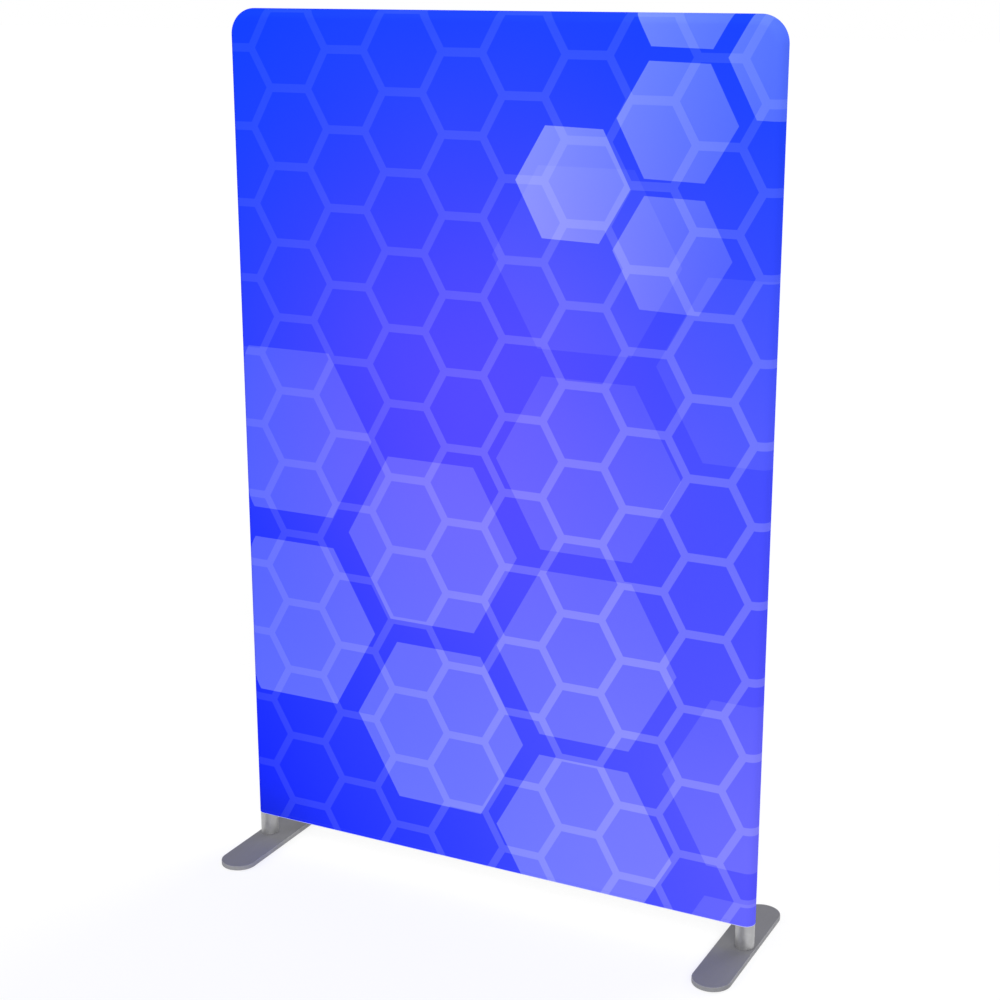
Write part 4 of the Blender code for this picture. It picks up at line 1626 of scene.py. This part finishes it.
@dataclass
class Feet:
    """The two flat feet with their plugs, screws and pads."""

    bottom: float = 0.0018
    thickness: float = 0.0122
    top_round: float = 0.0012
    top_round_steps: int = 4
    low_round: float = 0.0006
    end_steps: int = 40
    screw: float = 0.0043
    head: float = 0.0083
    recess: float = 0.0005
    head_height: float = 0.0045
    overcut: float = 0.001
    hole_facets: int = 48
    pad_radius: float = 0.02
    pad_thickness: float = 0.0015
    pad_place: float = 0.181
    pad_round: float = 0.0004
    pad_chamfer: float = 0.3
    pad_ring: tuple[float, ...] = (0.55, 0.57, 0.63, 0.65)
    pad_facets: int = 64

    def plate(self, label: str, side: int) -> bpy.types.Object:
        """The long plate with round ends, countersunk underneath for its screw.

        Args:
            label: The side's name.
            side: -1 on the left and 1 on the right.

        Returns:
            The piece.
        """
        radius, reach = FOOT_WIDTH / 2, FOOT_LENGTH / 2 - FOOT_WIDTH / 2
        centre = Vector((side * FOOT_X, 0, self.bottom))
        shape = Shape()
        first = shape.bm.verts.new(centre + Vector((radius, reach, 0)))
        corner = shape.arc(first, centre + Y_AXIS * reach, self.end_steps)
        far = shape.reach(corner, Y_AXIS * (-2 * reach))
        last = shape.arc(far, centre - Y_AXIS * reach, self.end_steps)
        shape.bm.edges.new((last, first))
        faces = shape.fill(shape.bm.edges[:])
        raised = shape.raise_faces(faces, Z_AXIS * self.thickness)
        top = [edge for face in raised for edge in face.edges]
        shape.settle()
        shape.bevel([edge for edge in top if edge.is_valid], self.top_round,
                    self.top_round_steps)
        shape.bevel(shape.within(lambda point: point.co.z - self.bottom), self.low_round)
        plate = shape.mesh(f"foot_body_{label}")
        over = self.overcut
        hole = lathe([(0, -over), (self.head, -over), (self.head, self.recess),
                      (self.screw, self.recess + self.head_height),
                      (self.screw, self.thickness + over), (0, self.thickness + over)],
                     Vector((side * POST_X, 0, self.bottom)), Z_AXIS, self.hole_facets)
        carve(plate, hole.mesh("screw_hole"))
        weigh_normals(plate)
        return install(plate, FOOT_COAT, Slot.FOOT, f"foot_{label}", [f"foot_plate_{label}"])

    def pad(self, label: str, end: str, place: Vector) -> bpy.types.Object:
        """A rubber disc with a rounded rim and a ring pressed into its sole.

        Args:
            label: The side's name.
            end: The name of the foot's end.
            place: The middle of its sole.

        Returns:
            The piece.
        """
        radius, height, soft = self.pad_radius, self.pad_thickness, self.pad_round
        cut = soft * self.pad_chamfer
        ring = [(radius * share, depth) for share, depth in zip(self.pad_ring, (0, soft, soft, 0))]
        outline = [(0, 0), *ring, (radius - soft, 0), (radius - cut, cut), (radius, soft),
                   (radius, height), (0, height)]
        shape = lathe(outline, place, Z_AXIS, self.pad_facets)
        return install(shape.mesh(f"sole_pad_{label}_{end}"), PAD_RUBBER, Slot.PAD,
                       f"foot_{label}", [f"foot_pad_{label}_{end}"])

    def build(self) -> list[bpy.types.Object]:
        """Builds both feet.

        Returns:
            The pieces.
        """
        pieces = []
        for label, side in SIDES.items():
            pieces.append(self.plate(label, side))
            for end, along in (("front", -1), ("back", 1)):
                place = Vector((side * FOOT_X, along * self.pad_place, 0))
                pieces.append(self.pad(label, end, place))
            pieces.append(joined(f"foot_spigot_{label}", f"foot_plug_{label}", CAST_METAL,
                                 Slot.CAST, f"foot_{label}"))
            pieces.append(joined(f"foot_screw_{label}", f"plug_screw_{label}", PLATED_METAL,
                                 Slot.PLATED, f"foot_{label}"))
        return pieces


@dataclass
class Lighting:
    """The light bars with their strips and lenses, the junction box and the wiring."""

    bar_places: tuple[float, ...] = (-0.6, -0.36, -0.12, 0.12, 0.36, 0.6)
    bar_front: float = 0.00725
    bar_round: float = 0.0003
    box_round: float = 0.0005
    lens_low: float = 0.1441
    lens_high: float = 2.3024
    lens_seat: float = 0.00695
    lens_half: float = 0.006
    lens_cheek: float = 0.0015
    lens_crown: float = 0.0045
    lens_wall: float = 0.0008
    lens_steps: int = 16
    cap: float = 0.002
    cap_round: float = 0.0003
    clearance: float = 0.0001
    strip_half: float = 0.004
    strip_front: float = 0.0067
    strip_gap: float = 0.003
    diode: Place = (0.0034, 0.0014, 0.005)
    diode_pitch: float = 0.0498
    cup_rim: float = 0.16
    cup_depth: float = 0.25
    cup_round: float = 0.06
    box_low: Place = (0.4, -0.02, 0.1602)
    box_high: Place = (0.48, 0.0088, 0.1617)
    board_top: float = 0.1371
    screw_inset: float = 0.005
    screw_facets: int = 24
    pan_head: tuple[Pair, ...] = (
        (0, 0.0006), (0.0009, 0.0006), (0.0009, 0.0015), (0.0014, 0.0014), (0.0021, 0.0009),
        (0.0024, 0.0002), (0.0024, 0), (0, 0))
    terminal_pitch: float = 0.005
    terminal_half: float = 0.004
    terminal_height: float = 0.0085
    terminal_round: float = 0.0004
    terminal_facets: int = 20
    terminal_well: tuple[Pair, ...] = (
        (0, -0.003), (0.0019, -0.003), (0.0019, 0.001), (0, 0.001))
    terminal_screw: tuple[Pair, ...] = (
        (0, -0.003), (0.0017, -0.003), (0.0017, -0.0012), (0.0015, -0.001), (0.0005, -0.001),
        (0.0005, -0.0016), (0, -0.0016))
    tap_low: Place = (-0.006, 0.0091, 0.1308)
    tap_high: Place = (0.006, 0.0141, 0.137)
    tap_round: float = 0.0007

    def arch(self, place: float, inset: float, height: float) -> list[Place]:
        """The lens's section at a height.

        Args:
            place: Where the bar stands across the wall.
            inset: How far the section is drawn in.
            height: The height.

        Returns:
            The section's points, from seat to seat.
        """
        half, crown = self.lens_half - inset, self.lens_crown - inset
        turns = [math.pi * step / self.lens_steps for step in range(self.lens_steps + 1)]
        line = [(-half * math.cos(turn), self.lens_cheek + crown * math.sin(turn))
                for turn in turns]
        return [(place + across, self.lens_seat - out, height)
                for across, out in [(-half, 0.0), *line, (half, 0.0)]]

    def cover(self, number: int, place: float) -> bpy.types.Object:
        """A lens: an extruded channel with a cap in each end.

        Args:
            number: The bar's number.
            place: Where the bar stands across the wall.

        Returns:
            The piece.
        """
        low, high = self.lens_low, self.lens_high
        gap = self.cap + self.clearance
        section = [*self.arch(place, 0.0, low + gap),
                   *reversed(self.arch(place, self.lens_wall, low + gap))]
        shape = slab(section, Z_AXIS * (high - low - 2 * gap))
        for height in (low, high - self.cap):
            end = slab(self.arch(place, 0.0, height), Z_AXIS * self.cap)
            end.bevel(end.sharp_edges(), self.cap_round)
            shape.take(end)
        piece = shape.mesh(f"lens_cover_{number}")
        return install(piece, LENS_CLEAR, Slot.LENS, replaced=[f"light_lens_{number}"])

    def strip(self, number: int, place: float) -> bpy.types.Object:
        """The thin circuit strip stuck to a bar.

        Args:
            number: The bar's number.
            place: Where the bar stands across the wall.

        Returns:
            The piece.
        """
        end = self.cap + self.strip_gap
        shape = brick((place - self.strip_half, self.strip_front, self.lens_low + end),
                      (place + self.strip_half, self.bar_front - self.clearance,
                       self.lens_high - end))
        return install(shape.mesh(f"diode_strip_{number}"), STRIP_LACQUER, Slot.BOARD)

    def diodes(self, number: int, place: float) -> bpy.types.Object:
        """The diodes on a strip, each a moulded cup with a rounded rim.

        Args:
            number: The bar's number.
            place: Where the bar stands across the wall.

        Returns:
            The piece.
        """
        across, deep, tall = self.diode
        front = self.strip_front - deep
        first = self.lens_low + self.diode_pitch / 2
        shape = brick((place - across / 2, front, first),
                      (place + across / 2, self.strip_front, first + tall))
        face = min(shape.bm.faces, key=lambda item: item.calc_center_median().y)
        bmesh.ops.inset_region(shape.bm, faces=[face], thickness=across * self.cup_rim, depth=0)
        bmesh.ops.translate(shape.bm, vec=Y_AXIS * deep * self.cup_depth, verts=face.verts[:])
        shape.bevel(shape.within(lambda point: point.co.y - front), across * self.cup_round,
                    segments=1)
        count = int((self.lens_high - self.lens_low) / self.diode_pitch) - 1
        shape.repeat(shape.everything, count, Z_AXIS * self.diode_pitch)
        return install(shape.mesh(f"diodes_{number}"), DIODE_RESIN, Slot.LENS)

    def tap(self, number: int, place: float) -> bpy.types.Object:
        """The clip that joins a bar's strip to the lead behind it.

        Args:
            number: The bar's number.
            place: Where the bar stands across the wall.

        Returns:
            The piece.
        """
        shape = brick(self.tap_low, self.tap_high)
        shape.bevel(shape.sharp_edges(), self.tap_round)
        shape.move(X_AXIS * place)
        return install(shape.mesh(f"lead_tap_{number}"), BOX_PLASTIC, Slot.BOX)

    def lid_screws(self) -> bpy.types.Object:
        """Four pan-head screws in the box's lid.

        Returns:
            The screws, as one piece.
        """
        shape, inset = Shape(), self.screw_inset
        for across in (self.box_low[0] + inset, self.box_high[0] - inset):
            for along in (self.box_low[1] + inset, self.box_high[1] - inset):
                shape.take(lathe(self.pan_head, Vector((across, along, self.box_high[2])), Z_AXIS,
                                 self.screw_facets))
        return install(shape.mesh("box_lid_screws"), PLATED_METAL, Slot.PLATED)

    def terminals(self) -> list[bpy.types.Object]:
        """The screw terminals on the board: a block with a way for each bar, and its screws.

        Returns:
            The block, and the screws as one piece.
        """
        ways, pitch = len(self.bar_places), self.terminal_pitch
        middle = Vector(((self.box_low[0] + self.box_high[0]) / 2,
                         (self.box_low[1] + self.box_high[1]) / 2, self.board_top))
        half = ways * pitch / 2
        body = brick(middle - Vector((half, self.terminal_half, 0)),
                     middle + Vector((half, self.terminal_half, self.terminal_height)))
        body.bevel(body.sharp_edges(), self.terminal_round)
        block = body.mesh("terminal_block")
        start = middle + Vector((pitch / 2 - half, 0, self.terminal_height))
        wells, screws = (lathe(outline, start, Z_AXIS, self.terminal_facets)
                         for outline in (self.terminal_well, self.terminal_screw))
        for turned in (wells, screws):
            turned.repeat(turned.everything, ways - 1, X_AXIS * pitch)
        carve(block, wells.mesh("terminal_wells"))
        return [install(block, STRIP_LACQUER, Slot.BOX),
                install(screws.mesh("terminal_screws"), PLATED_METAL, Slot.PLATED)]

    def build(self) -> list[bpy.types.Object]:
        """Builds the bars with their strips, diodes and lenses, the box and the wiring.

        Returns:
            The pieces.
        """
        pieces = []
        for number, place in enumerate(self.bar_places, 1):
            pieces += [joined(f"light_bar_{number}", f"bar_extrusion_{number}", BAR_LACQUER,
                              Slot.BAR, rounding=self.bar_round),
                       self.cover(number, place), self.strip(number, place),
                       self.diodes(number, place), self.tap(number, place)]
        pieces += [self.lid_screws(), *self.terminals()]
        for node, name in (("junction_box_base", "box_shell"), ("junction_box_lid", "box_cover"),
                           ("power_inlet", "inlet_socket")):
            pieces.append(joined(node, name, BOX_PLASTIC, Slot.BOX, rounding=self.box_round))
        pieces.append(joined("junction_board", "box_board", BOARD, Slot.BOARD))
        pieces.append(joined("light_harness", "harness_lead", SHEATH, Slot.SHEATH))
        return pieces


# Studio


@dataclass(frozen=True)
class SoftLight:
    """One far, wide lamp, which lights the whole wall evenly."""

    name: str
    azimuth: float
    elevation: float
    strength: float
    spread: float = 35.0
    distance: float = 8.0

    def build(self) -> None:
        """Hangs the lamp. Azimuth 0 is in front of the print, and 90 to its right."""
        data = bpy.data.lights.new(self.name, "SUN")
        data.energy = self.strength
        data.angle = math.radians(self.spread)
        around, up = math.radians(self.azimuth), math.radians(self.elevation)
        back = Vector((math.sin(around) * math.cos(up), -math.cos(around) * math.cos(up),
                       math.sin(up)))
        lamp = bpy.data.objects.new(self.name, data)
        lamp.location = back * self.distance
        lamp.rotation_euler = back.to_track_quat("Z", "Y").to_euler()
        bpy.context.scene.collection.objects.link(lamp)


@dataclass
class Studio:
    """The white room: floor, world, lamps and camera."""

    camera_place: Place = (2.1569, -4.1713, 2.469)
    turn: float = 27.0746
    tilt: float = 15.2133
    roll: float = -0.04
    lens: float = 67.281
    sensor: float = 36.0
    shift: Pair = (-0.0002, -0.0256)
    floor_reach: float = 60.0
    ambient: float = 0.5
    lamps: tuple[SoftLight, ...] = (
        SoftLight("key", 35.0, 30.0, 1.7),
        SoftLight("fill", -50.0, 25.0, 0.9),
        SoftLight("back", 160.0, 22.0, 1.4),
    )

    def floor(self) -> bpy.types.Object:
        """The floor, which is staged and isn't part of the object.

        Returns:
            The floor.
        """
        shape = Shape()
        bmesh.ops.create_grid(shape.bm, x_segments=8, y_segments=8, size=self.floor_reach)
        piece = shape.mesh("studio_floor")
        piece.data.materials.append(FLOOR.material())
        return piece

    def world(self) -> None:
        """White to look at, and dimmer as a light."""
        world = bpy.data.worlds.new("studio")
        bpy.context.scene.world = world
        graph = Graph(world)
        dim, white = (graph.node("Background", inputs={"Color": WHITE, "Strength": strength})
                      for strength in (self.ambient, 1.0))
        mixed = graph.node("MixShader", inputs={0: graph.looked_at(), 1: dim.outputs[0],
                                                2: white.outputs[0]})
        graph.node("OutputWorld", inputs={0: mixed.outputs[0]})

    def camera(self) -> None:
        """The camera at the photograph's place and angle."""
        data = bpy.data.cameras.new("camera")
        data.lens, data.sensor_width = self.lens, self.sensor
        data.shift_x, data.shift_y = self.shift
        thing = bpy.data.objects.new("camera", data)
        thing.matrix_world = (Matrix.Translation(self.camera_place)
                              @ Matrix.Rotation(math.radians(self.turn), 4, "Z")
                              @ Matrix.Rotation(math.radians(90 - self.tilt), 4, "X")
                              @ Matrix.Rotation(math.radians(self.roll), 4, "Z"))
        bpy.context.scene.collection.objects.link(thing)
        bpy.context.scene.camera = thing

    def build(self) -> list[bpy.types.Object]:
        """Builds the studio.

        Returns:
            The floor, in a list.
        """
        bpy.context.scene.view_settings.view_transform = "Standard"
        self.world()
        self.camera()
        for lamp in self.lamps:
            lamp.build()
        return [self.floor()]


def main() -> None:
    """Dresses the display wall, one sub-assembly after the other."""
    logging.basicConfig(level=logging.INFO, format="%(message)s")
    for part in (Studio(), TubeFrame(), Feet(), Sleeve(), HemZip(), Lighting()):
        for piece in part.build():
            log.info("%s: %s, %d faces", type(part).__name__, piece.name,
                     len(piece.data.polygons))


if __name__ == "__main__":
    main()
